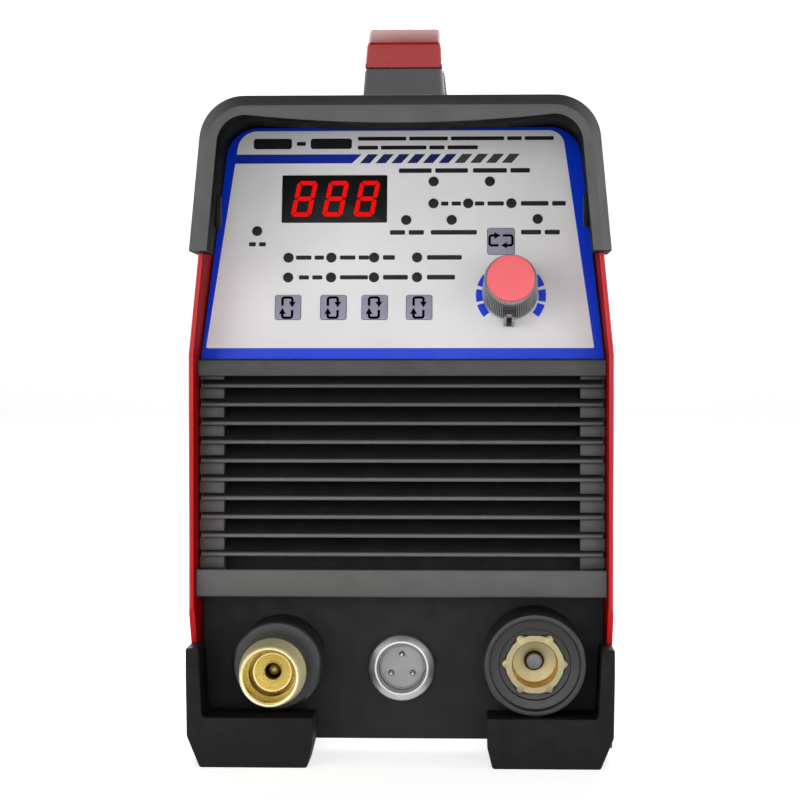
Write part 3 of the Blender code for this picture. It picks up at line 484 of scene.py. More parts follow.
def area(points):
    total = 0.0
    for (x0, z0), (x1, z1) in zip(points, points[1:] + points[:1]):
        total += x0 * z1 - x1 * z0
    return total / 2


def inset(points, distance):
    """Moves every side of an outline inwards by a distance."""
    turn = 1 if area(points) > 0 else -1
    result = []
    for i, point in enumerate(points):
        here = Vector(point)
        back = (here - Vector(points[i - 1])).normalized()
        ahead = (Vector(points[(i + 1) % len(points)]) - here).normalized()
        normal_a = Vector((-back.y, back.x)) * turn
        normal_b = Vector((-ahead.y, ahead.x)) * turn
        scale = distance / max(0.3, 1 + normal_a.dot(normal_b))
        result.append(tuple(here + (normal_a + normal_b) * scale))
    return result


def arc(radius, angles, centre=(0, 0)):
    return [(centre[0] + radius * math.cos(a), centre[1] + radius * math.sin(a)) for a in angles]


def circle(radius, segments, centre=(0, 0)):
    step = 2 * math.pi / segments
    return arc(radius, [step * i for i in range(segments)], centre)


def rectangle(width, height, centre=(0, 0), radius=0.0, steps=4):
    x, z = centre
    points = [(x + width / 2, z + height / 2), (x - width / 2, z + height / 2),
              (x - width / 2, z - height / 2), (x + width / 2, z - height / 2)]
    return fillet(points, radius, steps) if radius else points


def stroke(points, width):
    """Outline of a line of that width along a path, with round corners in the path already."""
    left, right = [], []
    for i, point in enumerate(points):
        here = Vector(point)
        ahead = Vector(points[min(i + 1, len(points) - 1)]) - here
        back = here - Vector(points[max(i - 1, 0)])
        along = (ahead.normalized() if ahead.length else Vector((0, 0))) + (
            back.normalized() if back.length else Vector((0, 0)))
        along.normalize()
        side = Vector((-along.y, along.x)) * width / 2
        left.append(tuple(here + side))
        right.append(tuple(here - side))
    return left + right[::-1]


# ---- Meshes -------------------------------------------------------------------------------------
def skin(bm, loops, closed=False):
    """Skins a row of equal closed loops. The ends are capped unless the row is closed.

    Like the solids below, it adds to `bm`, or to a new mesh where that is None, and returns it.
    """
    bm = bmesh.new() if bm is None else bm
    rings = [[bm.verts.new(point) for point in loop] for loop in loops]
    pairs = list(zip(rings, rings[1:]))
    if closed:
        pairs.append((rings[-1], rings[0]))
    for near, far in pairs:
        for i in range(len(near)):
            j = (i + 1) % len(near)
            bm.faces.new((near[i], near[j], far[j], far[i]))
    if not closed:
        bm.faces.new(rings[0][::-1])
        bm.faces.new(rings[-1])
    return bm


def laid(outline, axis, distance):
    """3-D points of a 2-D outline: X takes (y, z), Y takes (x, z), Z takes (x, y)."""
    if axis == "X":
        return [(distance, a, b) for a, b in outline]
    if axis == "Y":
        return [(a, distance, b) for a, b in outline]
    return [(a, b, distance) for a, b in outline]


def slab(bm, outline, axis, back, front, edge=0.0, steps=2, back_edge=0.0):
    """A plate from an outline, with its front edge (and back edge) rounded."""
    way = 1 if front > back else -1
    quarter = [math.pi / 2 * step / steps for step in range(steps + 1)]
    rows = [(back, 0.0)]
    if back_edge:
        rows = [(back + way * back_edge * (1 - math.cos(turn)), back_edge * (1 - math.sin(turn)))
                for turn in quarter]
    if edge:
        rows += [(front - way * edge * (1 - math.sin(turn)), edge * (1 - math.cos(turn)))
                 for turn in quarter]
    else:
        rows.append((front, 0.0))
    return skin(bm, [laid(inset(outline, shrink) if shrink else outline, axis, distance)
                     for distance, shrink in rows])


def rings_at(at, rows, segments=96):
    """Circles square to Y. Rows are (radius, distance), and distance runs to the front (-Y)."""
    return [[(at[0] + x, at[1] - distance, at[2] + z) for x, z in circle(radius, segments)]
            for radius, distance in rows]


def hexagons_at(at, rows, segments=96, phase=0.0):
    """A turned blank milled to six sides. Rows are (apothem, turned radius, distance)."""
    loops = []
    for apothem, limit, distance in rows:
        loop = []
        for i in range(segments):
            angle = 2 * math.pi * i / segments
            sector = (angle + phase + math.pi / 6) % (math.pi / 3) - math.pi / 6
            reach = min(apothem / math.cos(sector), limit)
            loop.append((at[0] + reach * math.cos(angle), at[1] - distance,
                         at[2] + reach * math.sin(angle)))
        loops.append(loop)
    return loops


def turned(bm, profile, at=(0, 0, 0), segments=48, ring=False, round_off=0.0, steps=3):
    """Turns (radius, distance) points about Y. A ring's profile closes on itself."""
    if round_off:
        profile = fillet(profile, round_off, steps, closed=ring)
    return skin(bm, rings_at(at, profile, segments), closed=ring)


def rounded_box(bm, corner_a, corner_b, radius, steps=2):
    bm = bmesh.new() if bm is None else bm
    made = bmesh.ops.create_cube(bm, size=1.0)
    lows = Vector(map(min, corner_a, corner_b))
    highs = Vector(map(max, corner_a, corner_b))
    for vert in made["verts"]:
        vert.co = Vector(lows[i] if vert.co[i] < 0 else highs[i] for i in range(3))
    edges = list({edge for vert in made["verts"] for edge in vert.link_edges})
    bmesh.ops.bevel(bm, geom=edges, offset=radius, segments=steps, affect="EDGES", profile=0.5)
    return bm


def tube(bm, path, radius, sides=10, closed=False):
    """A round bar along 3-D points."""
    count = len(path)
    rings = []
    for i, point in enumerate(path):
        here = Vector(point)
        if closed:
            ahead, back = Vector(path[(i + 1) % count]), Vector(path[i - 1])
        else:
            ahead, back = Vector(path[min(i + 1, count - 1)]), Vector(path[max(i - 1, 0)])
        along = (ahead - back).normalized()
        up = Vector((0, 1, 0)) if abs(along.y) < 0.9 else Vector((1, 0, 0))
        side = along.cross(up).normalized()
        other = along.cross(side)
        rings.append([here + (side * math.cos(a) + other * math.sin(a)) * radius
                      for a in (2 * math.pi * k / sides for k in range(sides))])
    skin(bm, rings, closed=closed)


def to_mesh(name, bm):
    bmesh.ops.recalc_face_normals(bm, faces=bm.faces)
    mesh = bpy.data.meshes.new(name)
    bm.to_mesh(mesh)
    bm.free()
    return mesh


def carve(bm, tool, operation="DIFFERENCE"):
    """Cuts one mesh with another, or joins them, and returns the result."""
    pair = []
    for part in (bm, tool):
        pair.append(bpy.data.objects.new("carving", to_mesh("carving", part)))
        bpy.context.scene.collection.objects.link(pair[-1])
    modifier = pair[0].modifiers.new("carve", "BOOLEAN")
    modifier.operation = operation
    modifier.solver = "EXACT"
    modifier.object = pair[1]
    graph = bpy.context.evaluated_depsgraph_get()
    result = bmesh.new()
    result.from_mesh(pair[0].evaluated_get(graph).to_mesh())
    for item in pair:
        mesh = item.data
        bpy.data.objects.remove(item)
        bpy.data.meshes.remove(mesh)
    return result


def add_copy(bm, part, place):
    """Moves a small finished mesh to its place and joins it to a larger one."""
    part.transform(place)
    mesh = bpy.data.meshes.new("copy")
    part.to_mesh(mesh)
    part.free()
    bm.from_mesh(mesh)
    bpy.data.meshes.remove(mesh)


def mark_faces(bm, test):
    """Gives the second material to each face for which `test(face, centre)` holds."""
    for face in bm.faces:
        face.material_index = int(test(face, face.calc_center_median()))


def piece(name, bm, *materials, slot=None, body=BODY, stands_for=(), place=None):
    """Makes a finished piece of a bmesh in millimetres, and fastens it to its body."""
    if place:
        bm.transform(place)
    bmesh.ops.scale(bm, vec=(MM, MM, MM), verts=bm.verts)
    mesh = to_mesh(name, bm)
    obj = bpy.data.objects.new(name, mesh)
    bpy.context.scene.collection.objects.link(obj)
    for key in materials:
        mesh.materials.append(MATERIALS[key])
    mesh.shade_smooth()
    mesh.set_sharp_from_angle(angle=SMOOTH_ANGLE)
    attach(obj, body)
    if stands_for:
        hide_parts(*stands_for)
    return obj


# ---- Cover and hoods ----------------------------------------------------------------------------
def arch_half(half_at, z_at, lean, top, corner, start, bow=0.0, arc_steps=14, top_steps=8):
    """Right half of an arch: a leaning side from `start`, a round corner, the bowed top."""
    centre_z = top - corner
    reach = corner - (z_at - centre_z) * math.sin(lean)
    centre_x = half_at - reach / math.cos(lean)
    points = [(half_at - (start - z_at) * math.tan(lean), start)]
    for i in range(arc_steps + 1):
        angle = lean + (math.pi / 2 - lean) * i / arc_steps
        points.append((centre_x + corner * math.cos(angle), centre_z + corner * math.sin(angle)))
    for i in range(1, top_steps + 1):
        x = centre_x * (1 - i / top_steps)
        points.append((x, top - bow * (1 - (x / centre_x) ** 2)))
    return points


def mirror_half(points):
    return points + [(-x, z) for x, z in reversed(points[:-1])]


def cover_arch(shrink, start):
    half = arch_half(COVER_HALF - shrink, BEND_Z, COVER_LEAN, COVER_TOP - shrink,
                     COVER_CORNER - shrink, BEND_Z)
    return mirror_half([(COVER_HALF - shrink, start)] + half)


def countersunk_screw(bm, at, out, radius=3.4, proud=0.35):
    """Flush head with a cross recess. `out` is the way it faces: +X or -X as 1 or -1."""
    profile = [(0.4, -1.2), (radius * 0.55, -1.2), (radius, -0.1), (radius, 0.0),
               (radius * 0.94, proud * 0.75), (radius * 0.8, proud)]
    head = skin(None, [laid(circle(reach, 32), "X", distance) for reach, distance in profile])
    cross = bmesh.new()
    for width, height in ((0.8, 3.6), (3.6, 0.8)):
        arm = skin(None, [laid(rectangle(width * k, height * k), "X", distance)
                          for k, distance in ((0.55, -0.9), (1.0, 1.0))])
        cross = carve(cross, arm, "UNION") if cross.faces else arm
    add_copy(bm, carve(head, cross), Matrix.Translation(at) @ Matrix.Diagonal((out, 1, 1, 1)))


def make_cover():
    """Bent sheet with a chamfered front and rear edge, notched for the guards and hoods."""
    ends = [(0.0, 0.95), (0.35, 0.62), (1.5, 0.0)]
    rows = [(FRONT_EDGE + y, shrink) for y, shrink in ends]
    rows += [(REAR_EDGE - y, shrink) for y, shrink in reversed(ends)]
    inner_shrink = [0.25, 0.1, 0.0, 0.0, 0.1, 0.25]
    loops = []
    for (y, shrink), ease in zip(rows, inner_shrink):
        outline = cover_arch(shrink, COVER_BASE) + cover_arch(SHEET - ease, COVER_BASE)[::-1]
        loops.append(laid(outline, "Y", y))
    bm = skin(None, loops)
    notch_y = 12.3
    for edge, sign in ((FRONT_EDGE, 1), (REAR_EDGE, -1)):
        lower = [(-9, -5), (7.8, -5), (7.8, 46.5), (0, 60.5), (-9, 60.5)]
        upper = [(-9, HOOD_BASE - 0.3), (notch_y, HOOD_BASE - 0.3), (notch_y, 270), (-9, 270)]
        for outline in (lower, upper):
            tool = slab(None, [(edge + sign * a, b) for a, b in outline], "X", -100, 100)
            bm = carve(bm, tool)
    # Inward faces and the underside above the bend take the second material: painted shade inside the cover.
    mark_faces(bm, lambda face, centre: face.normal.x * centre.x < -1
               or (face.normal.z < -0.5 and centre.z > BEND_Z))
    piece("cover_skin", bm, "red_paint", "cover_inside", stands_for=("cover_shell",))

    screws = bmesh.new()
    for side in (-1, 1):
        for y in (-118, 8, 134):
            countersunk_screw(screws, (side * COVER_HALF, y, 14.0), side)
    piece("cover_screws", screws, "zinc_steel")


def make_hood(name, node, end):
    """Moulded rim: bevel, face, inner wall and the skirt that laps over the cover."""
    sign = 1 if end == "front" else -1
    face = BODY_MID - sign * (BODY_MID - HOOD_FACE)
    skirt = mirror_half(arch_half(COVER_HALF + 0.3, BEND_Z, COVER_LEAN, COVER_TOP + 0.3,
                                  COVER_CORNER + 0.3, HOOD_BASE))
    contours = {
        0.0: mirror_half(arch_half(HOOD_HALF, HOOD_BASE, HOOD_LEAN, HOOD_TOP, 17.5, HOOD_BASE)),
        3.4: mirror_half(arch_half(HOOD_HALF - 3.4, HOOD_BASE, HOOD_LEAN, HOOD_TOP - 4.0, 15.0,
                                   HOOD_BASE)),
        7.2: mirror_half(arch_half(HOOD_HALF - 7.2, HOOD_BASE, HOOD_LEAN, HOOD_TOP - 7.7, 11.0,
                                   HOOD_BASE, 3.2)),
    }

    def contour(shrink):
        near, far = (0.0, 3.4) if shrink <= 3.4 else (3.4, 7.2)
        share = (shrink - near) / (far - near)
        return [tuple(Vector(a).lerp(Vector(b), share))
                for a, b in zip(contours[near], contours[far])]

    lap = 24.0                          # depth at which the rim meets the cover's edge
    rim = fillet([(0.0, lap), (0.0, 2.8), (3.5, 0.0), (7.2, 0.0), (6.4, lap)],
                 [0, 0.45, 0.3, 0.35, 0], 2, closed=False)
    span = HOOD_TOP - HOOD_BASE
    swept = 44.0                        # how much deeper the skirt's edge lies at the top
    wall = (31.0, 18.0 if end == "front" else 5.0)
    rows = [(contour(shrink), depth, 0.0) for shrink, depth in rim]
    rows += [(contour(5.8), *wall), (contour(5.0), *wall), (contour(5.0), lap + 0.1, 0.0)]
    rows += [(skirt, lap + 0.1, 0.0), (skirt, 33.4, swept), (contour(0.25), 34.0, swept),
             (contour(0.0), 33.5, swept)]
    columns = [[(x, face + sign * (depth + rise * (z - HOOD_BASE) / span), z) for x, z in outline]
               for outline, depth, rise in rows]
    bm = bmesh.new()
    count = len(columns)
    sections = [[columns[k][i] for k in range(count)] for i in range(len(skirt))]
    skin(bm, sections)
    bmesh.ops.recalc_face_normals(bm, faces=bm.faces)

    # Inner and downward faces take the second material: painted shade inside the rim.
    def inside(made, centre):
        inwards = made.normal.x * centre.x < -1 or made.normal.z < -0.6
        return inwards and (sign * (centre.y - face) > 1.0 or len(made.verts) > 4)

    mark_faces(bm, inside)
    piece(name, bm, "grey_plastic", "hood_inside", stands_for=(node,))

    clips = bmesh.new()
    for side in (-1, 1):
        wall_x = HOOD_HALF - 6.3 - (215.4 - HOOD_BASE) * math.tan(HOOD_LEAN)
        rounded_box(clips, (side * (wall_x + 0.6), face + sign * 23.0, 209.0),
                    (side * (wall_x - 1.75), face + sign * 30.0, 221.8), 0.8, 3)
    piece(name + "_clips", clips, "black_rubber", slot="black_plastic")


# ---- Feet, louvre and connector panel -----------------------------------------------------------
def make_guard(name, node, side, end):
    """L-shaped corner guard with soft edges, and the block that reaches under the tray."""
    sign = 1 if end == "front" else -1
    front = low(node)[1] if end == "front" else high(node)[1]
    outline = fillet([(82.4, 46.0), (82.4, 36.0), (82.0, 12.0), (77.0, 0.0), (35.6, 0.0),
                      (33.6, 8.0), (33.4, 19.4), (76.0, 19.4), (77.3, 46.0)],
                     [0.8, 3, 4, 1.2, 1.2, 4, 0.7, 1.6, 0.8], 3)
    outline = [(side * x, z) for x, z in outline]
    bm = slab(None, outline, "Y", front + sign * 21.0, front, edge=0.7, steps=2)
    block = bmesh.new()
    profile = fillet([(front + sign * 16, 0.0), (front + sign * 16, 17.0),
                      (front + sign * 36.7, 17.0), (front + sign * 36.7, 5.0),
                      (front + sign * 62, 5.0), (front + sign * 62, 0.0)],
                     [0, 0, 1.0, 0.8, 1.0, 0.8], 2)
    slab(block, profile, "X", side * 38.0, side * 76.0)
    bm = carve(bm, block, "UNION")
    relief = rounded_box(None, (side * (PANEL_HALF), front + sign * 17.6, -1.0),
                         (side * 90.0, front + sign * 30.0, 50.0), 0.2, 1)
    bm = carve(bm, relief)
    piece(name, bm, "black_rubber", stands_for=(node,))


def make_louvre():
    """Top band, stepped pillars, bottom band, and ten slats with round noses."""
    back = LOWER_PANEL_Y - 4.0
    face = LOWER_PANEL_Y - 16.0
    band = low("louvre_frame")[1]
    base = low("louvre_frame")[2]
    top = high("louvre_frame")[2]
    half = PANEL_HALF
    window_top = 150.5
    window_base = base + 10.8
    slot_half = 70.2
    fin_top = 146.6
    pitch = 7.37
    fins = 10
    thick = 1.5
    bm = bmesh.new()
    upper = fillet([(back, window_top), (face, window_top), (face, top), (back, top)],
                   [0, 0.5, 0.7, 0], 3)
    slab(bm, upper, "X", -half, half)
    lower = fillet([(LOWER_PANEL_Y - 0.3, base), (band, base), (band, window_base),
                    (back, window_base - 1.8), (LOWER_PANEL_Y - 0.3, window_base - 1.8)],
                   [0, 0.8, 0.6, 0, 0], 3)
    slab(bm, lower, "X", -half, half)
    for side in (-1, 1):
        rounded_box(bm, (side * half, face + 8.0, window_base - 1.5),
                    (side * (slot_half + 0.2), back, window_top + 0.5), 0.1, 1)
        for i in range(fins + 1):
            upper_z = window_top + 0.4 if i == 0 else fin_top - (i - 1) * pitch - thick / 2
            lower_z = fin_top - i * pitch + thick / 2 + 1.7 - 0.11 * i
            if i == fins:
                lower_z = window_base - 0.3
            rounded_box(bm, (side * half, face + 3.2, lower_z),
                        (side * slot_half, face + 9.0, upper_z), 0.35, 2)
    piece("louvre_moulding", bm, "louvre_grey", slot="grey_plastic", stands_for=("louvre_frame",))

    noses, slopes = bmesh.new(), bmesh.new()
    rise = 6.4
    for i in range(fins):
        z = fin_top - i * pitch
        slope = rise / (back + 1.0 - face)
        lift = 3.4 if i == 0 else rise
        neck = face + 2.2
        end_y = neck + lift / slope
        outline = [(face, z - thick / 2), (face, z + thick / 2), (neck, z + thick / 2 + 0.2),
                   (neck, z - thick / 2 + 0.2)]
        slab(noses, fillet(outline, [0.62, 0.62, 0, 0], 4), "X", 0.9 - half, half - 0.9, edge=0.4,
             back_edge=0.4)
        outline = [(neck, z - thick / 2 + 0.3), (neck, z + thick / 2 + 0.1),
                   (end_y, z + thick / 2 + lift), (end_y, z - thick / 2 + lift)]
        slab(slopes, outline, "X", 1.3 - half, half - 1.3)
    # The noses take the lighter copy of the louvre plastic: painted light.
    piece("louvre_noses", noses, "nose_grey", slot="grey_plastic")
    # The sloping faces take the near-black copy: painted shade between the slats.
    piece("louvre_slats", slopes, "louvre_inside", slot="grey_plastic")


# ---- Control panel ------------------------------------------------------------------------------
FILM_FACE = 0.0
PRINT = 0.05               # one layer of print stands this far out of the layer below
WHITE_FOOT, WHITE_HEAD = 4.4, 94.85


def white_edge(height, side):
    """Where the white area ends across the panel: it narrows upwards."""
    return -(78.36 - 0.1276 * height) if side < 0 else 76.4 - 0.13 * height


def panel_outline(shrink):
    """Outline of the printed film: it fits between the leaning sides of the cover."""
    slope = math.tan(COVER_LEAN) * math.cos(PANEL_LEAN)
    foot_half = high("panel_overlay")[0] - shrink
    top = (high("panel_overlay")[2] - PANEL_FOOT.z) / math.cos(PANEL_LEAN) - shrink
    half = arch_half(foot_half, 0.0, math.atan(slope), top, 13.0, 0.0, arc_steps=10, top_steps=1)
    full = mirror_half(half)
    return [point for i, point in enumerate(full) if i != len(half) - 1]


def panel_holes(clearance):
    """Cutters for the lamps, keys, display and the knob's bush."""
    outlines = [circle(LAMP_RADIUS + 0.08, 32, centre) for centre in LAMPS_AT]
    outlines += [rectangle(*(value + 2 * clearance for value in size), (x, z + KEY_RISE), 1.0)
                 for (x, z), size in zip(KEYS_AT, KEY_SIZES)]
    outlines.append(rectangle(*(size + 0.2 for size in DISPLAY_SIZE), DISPLAY_AT, 0.5))
    outlines.append(circle(4.8, 24, (KNOB_PIVOT.x, KNOB_PIVOT.z)))
    tool = bmesh.new()
    for outline in outlines:
        slab(tool, outline, "Y", 3, -3)
    return tool


def make_overlay():
    bm = slab(None, panel_outline(0.0), "Y", OVERLAY, FILM_FACE, edge=0.12)
    piece("printed_film", carve(bm, panel_holes(KEY_GAP)), "overlay_film", place=PANEL,
          stands_for=("panel_overlay",))
    white = [(white_edge(WHITE_FOOT, 1), WHITE_FOOT), (white_edge(WHITE_HEAD, 1), WHITE_HEAD),
             (white_edge(WHITE_HEAD, -1), WHITE_HEAD), (white_edge(WHITE_FOOT, -1), WHITE_FOOT)]
    bm = slab(None, fillet(white, [0.6, 6.5, 8.0, 0.6], 10), "Y", FILM_FACE + 0.02,
              FILM_FACE - PRINT)
    piece("print_white_field", carve(bm, panel_holes(KEY_GAP)), "print_white", slot="overlay_film",
          place=PANEL)


def ink(bm, outline, height=1):
    """One printed shape on the white field."""
    slab(bm, outline, "Y", FILM_FACE - PRINT + 0.02, FILM_FACE - PRINT * (1 + height))


def print_piece(name, bm, material):
    """A printed layer: it rides on the panel."""
    piece(name, bm, material, slot="overlay_film", place=PANEL)


def caption(bm, left, right, height, words, tall=1.9):
    """Plain bars where a caption stands, one for each word. `words` are their relative lengths."""
    gap = tall * 0.75
    unit = (right - left - gap * (len(words) - 1)) / sum(words)
    start = left
    for length in words:
        width = unit * length
        ink(bm, rectangle(width, tall, (start + width / 2, height), tall * 0.22, 2))
        start += width + gap


def make_stripes():
    """Blue rule under the heading, running out into slanted hatches."""
    foot, head = 81.1, 84.9
    lean = 3.3
    blue = bmesh.new()
    ink(blue, [(white_edge(foot, -1) - 0.3, foot), (-20.8, foot), (-20.2 + lean, head),
               (white_edge(head, -1) - 0.3, head)])
    print_piece("print_rule", blue, "print_blue")
    navy, grey = bmesh.new(), bmesh.new()
    start, pitch, width = -17.6, 6.35, 4.05
    for i in range(10):
        x = start + pitch * i
        ink(navy if i < 6 else grey, [(x, foot), (x + width, foot), (x + width + lean, head),
                                      (x + lean, head)])
    print_piece("print_hatch_navy", navy, "print_navy")
    print_piece("print_hatch_grey", grey, "print_grey")


def make_captions():
    """Every caption is a row of plain bars. The heading is taller and bolder."""
    bm = bmesh.new()
    for row in ((-60.7, -45.2, 89.4, (1,), 4.4), (-43.2, -39.6, 89.4, (1,), 1.6),
                (-37.6, -20.9, 89.4, (1,), 4.4), (-18.5, 60.6, 91.5, (10, 8, 11, 3, 6), 1.6),
                (-18.5, 30.0, 87.7, (4, 9, 3, 6), 1.6), (-1.8, 26.0, 77.9, (7, 7)),
                (28.0, 50.9, 77.9, (7, 4)), (15.2, 23.2, 64.0, (4, 5), 1.7),
                (28.8, 40.4, 64.0, (4, 7), 1.7), (47.2, 65.2, 64.0, (8, 4)),
                (-5.2, 8.4, 52.0, (3, 3)), (11.2, 29.6, 52.0, (1,)), (47.2, 62.7, 52.0, (4, 3)),
                (-61.7, -54.9, 47.2, (1, 1), 1.7), (-42.7, -31.5, 41.6, (5, 3), 1.7),
                (-25.1, -13.5, 41.6, (6, 4), 1.7), (-7.9, -3.1, 41.6, (1,)),
                (9.7, 23.6, 41.6, (1,)), (-41.4, -32.0, 33.4, (4, 4), 1.7),
                (-25.0, -13.8, 33.4, (1,), 1.7), (-7.8, 2.1, 33.4, (1,)),
                (9.7, 20.9, 33.4, (1,))):
        caption(bm, *row)
    print_piece("print_captions", bm, "print_ink")


def make_knob_scale():
    """Six arcs about the knob, three a side, printed on the film."""
    centre = (KNOB_PIVOT.x + 0.4, KNOB_PIVOT.z - 0.75)
    inner, outer = 10.97, 13.93
    spans = ((141.5, 162.8), (169.0, 191.0), (196.3, 219.2))
    bm = bmesh.new()
    for start, end in spans:
        for mirrored in (False, True):
            angles = [math.radians(start + (end - start) * k / 10) for k in range(11)]
            if mirrored:
                angles = [math.pi - angle for angle in angles]
            ink(bm, arc(outer, angles, centre) + arc(inner, angles[::-1], centre))
    print_piece("print_knob_scale", bm, "overlay_film")


def make_lamps():
    """A low domed lens in each of the small round holes."""
    bm = bmesh.new()
    rim = LAMP_RADIUS
    profile = [(rim, -0.3), (rim, 0.24), (1.8, 0.32), (1.3, 0.38), (0.75, 0.41), (0.2, 0.42)]
    for x, z in LAMPS_AT:
        turned(bm, profile, (x, 0, z), 32)
    piece("lamp_lenses", bm, "lamp_lens", slot="display_window", place=PANEL)


def digit_segments(width, tall, thick, slant):
    """The seven segments of one digit, as outlines in its own corner frame."""
    chamfer = 1.2
    mid = tall / 2
    half = thick / 2
    gap = 0.14
    upper = [(chamfer, tall), (chamfer / 2, tall - chamfer / 2), (thick, tall - thick),
             (width - thick, tall - thick), (width - chamfer / 2, tall - chamfer / 2),
             (width - chamfer, tall)]
    left = [(0, tall - chamfer), (0, mid + half * 0.7), (half * 0.7, mid), (thick, mid + half),
            (thick, tall - thick), (chamfer / 2, tall - chamfer / 2)]
    bar = [(half * 0.9, mid), (thick, mid + half), (width - thick, mid + half),
           (width - half * 0.9, mid), (width - thick, mid - half), (thick, mid - half)]
    shapes = [upper, [(x, tall - z) for x, z in upper], bar]
    for flip_x in (False, True):
        for flip_z in (False, True):
            shapes.append([(width - x if flip_x else x, tall - z if flip_z else z)
                           for x, z in left])
    return [[(x + slant * z, z) for x, z in inset(shape, gap)] for shape in shapes]


def make_display():
    """Smoked window with a thin raised frame, and three generic figures behind its face."""
    bm = slab(None, rectangle(*DISPLAY_SIZE, DISPLAY_AT, 0.4), "Y", 2.8, -0.3, edge=0.18)
    piece("display_lens", bm, "display_window", place=PANEL, stands_for=("display_window",))
    tall, slant, width = 15.2, 0.19, 8.4
    bm = bmesh.new()
    for left in (-45.4, -32.8, -20.2):
        for outline in digit_segments(width, tall, 2.05, slant):
            outline = fillet([(x + left, z + 58.5) for x, z in outline], 0.3, 2)
            slab(bm, outline, "Y", -0.2, -0.36)
    piece("display_figures", bm, "digit_red", slot="display_window", place=PANEL)


def arrow_hook(long, wide, tail, base, tip):
    """One hooked arrow: it rises from `tail`, crosses the top and points down from `base`."""
    line, head = 0.98, 1.4
    path = [(-wide, tail), (-wide, long), (wide, long), (wide, base - 0.2)]
    hook = stroke(fillet(path, [0, 0.85, 0.85, 0], 5, closed=False), line)
    arrow = [(wide - head, base), (wide, base - 0.15), (wide + head, base), (wide, tip)]
    return [hook, arrow]


def make_keys():
    """Each key: a flat cap with a soft rim, and its printed pair of arrows."""
    for number, (x, z) in enumerate(KEYS_AT, start=1):
        body = "button_%d" % number
        size = KEY_SIZES[number - 1]
        place = PANEL @ Matrix.Translation((x, 0, z + KEY_RISE))
        bm = slab(None, rectangle(*size, (0, 0), 0.6), "Y", 2.6, -0.4, edge=0.06, steps=2)
        slab(bm, rectangle(*(value + 2.2 for value in size), (0, 0), 1.4), "Y", 4.1, 3.1)
        turned(bm, [(1.7, -10.9), (1.7, -4.0), (1.2, -3.4)], segments=20)
        skin(bm, [laid(rectangle(9.0, 8.6), "Y", y) for y in (3.4, 2.4)])
        piece("key_%d" % number, bm, "key_plastic", body=body, place=place, stands_for=(body,))
        bm = bmesh.new()
        level = number == len(KEYS_AT)
        long, wide = (4.55, 2.05) if level else (4.15, 1.95)
        shapes = arrow_hook(long, wide, 0.75, 2.43, 0.1)
        shapes += [[(-a, -b) for a, b in shape] for shape in arrow_hook(long, wide, 1.0, 2.7, 0.1)]
        for outline in shapes:
            if level:
                outline = [(b, 0.3 - a) for a, b in outline]
            else:
                outline = [(a - 0.26, b - 0.15) for a, b in outline]
            slab(bm, outline, "Y", -0.38, -0.46)
        piece("key_%d_arrows" % number, bm, "icon_ink", slot="key_plastic", body=body,
              place=place)


def make_knob():
    """Knurled skirt, pointer foot with an inlaid line, and the coloured disc."""
    place = PANEL @ Matrix.Translation((KNOB_PIVOT.x, 0, KNOB_PIVOT.z))
    ribs = 84
    rows = [(8.2, 0.0, 4.0), (8.2, 0.0, 1.0), (10.7, 0.0, 1.0), (11.05, 0.0, 1.3),
            (11.05, 0.0, 2.0), (11.0, 0.5, 2.2), (10.45, 0.5, 20.3), (10.3, 0.5, 21.0),
            (9.4, 0.0, 21.2)]
    bm = bmesh.new()
    loops = []
    for radius, depth, distance in rows:
        ring = []
        for i in range(ribs * 4):
            angle = 2 * math.pi * i / (ribs * 4)
            groove = (0.0, 0.35, 1.0, 0.35)[i % 4]
            reach = radius - depth * groove
            ring.append((reach * math.cos(angle), -distance, reach * math.sin(angle)))
        loops.append(ring)
    skin(bm, loops)
    bore = turned(None, [(3.2, -5.0), (3.2, 18.0)], segments=32)
    bm = carve(bm, bore)

    # Groove faces take the near-black second material: painted shade in the knurl. The rest keeps the light grey,
    # part painted highlight.
    def in_shaded_groove(_, centre):
        step = math.atan2(centre.z, centre.x) % (2 * math.pi) * ribs * 4 / (2 * math.pi)
        knurled = math.hypot(centre.x, centre.z) > 9.3 and centre.y < -2.1
        return knurled and int(step) % 4 in (1, 2)

    mark_faces(bm, in_shaded_groove)
    piece("knob_skirt", bm, "knob_grip", "knob_groove", slot="black_plastic", body="knob",
          place=place, stands_for=("knob_body",))

    pointer = place @ Matrix.Rotation(math.radians(2.05), 4, "Y")
    bm = rounded_box(None, (-2.2, -18.4, -11.6), (2.2, -8.2, -8.6), 0.3)
    piece("knob_pointer_spine", bm, "black_plastic", body="knob", place=pointer)
    bm = bmesh.new()
    for side in (-1, 1):
        rounded_box(bm, (side * 1.02, -8.4, -14.0), (side * 2.15, -1.4, -9.0), 0.25)
    rounded_box(bm, (-1.1, -11.6, -12.1), (1.1, -8.0, -10.0), 0.3)
    piece("knob_pointer_foot", bm, "pointer_grey", slot="black_plastic", body="knob",
          place=pointer)
    bm = rounded_box(None, (-0.98, -7.9, -13.9), (0.98, -1.6, -9.4), 0.12, 1)
    piece("knob_pointer_line", bm, "black_rubber", slot="black_plastic", body="knob",
          place=pointer)

    bm = bmesh.new()
    turned(bm, [(8.7, 21.0), (9.22, 21.0), (9.22, 23.3), (9.0, 23.6), (5.0, 23.6), (0.5, 23.6)],
           segments=96, round_off=0.2)
    piece("knob_disc", bm, "knob_cap", body="knob", place=place, stands_for=("knob_cap",))


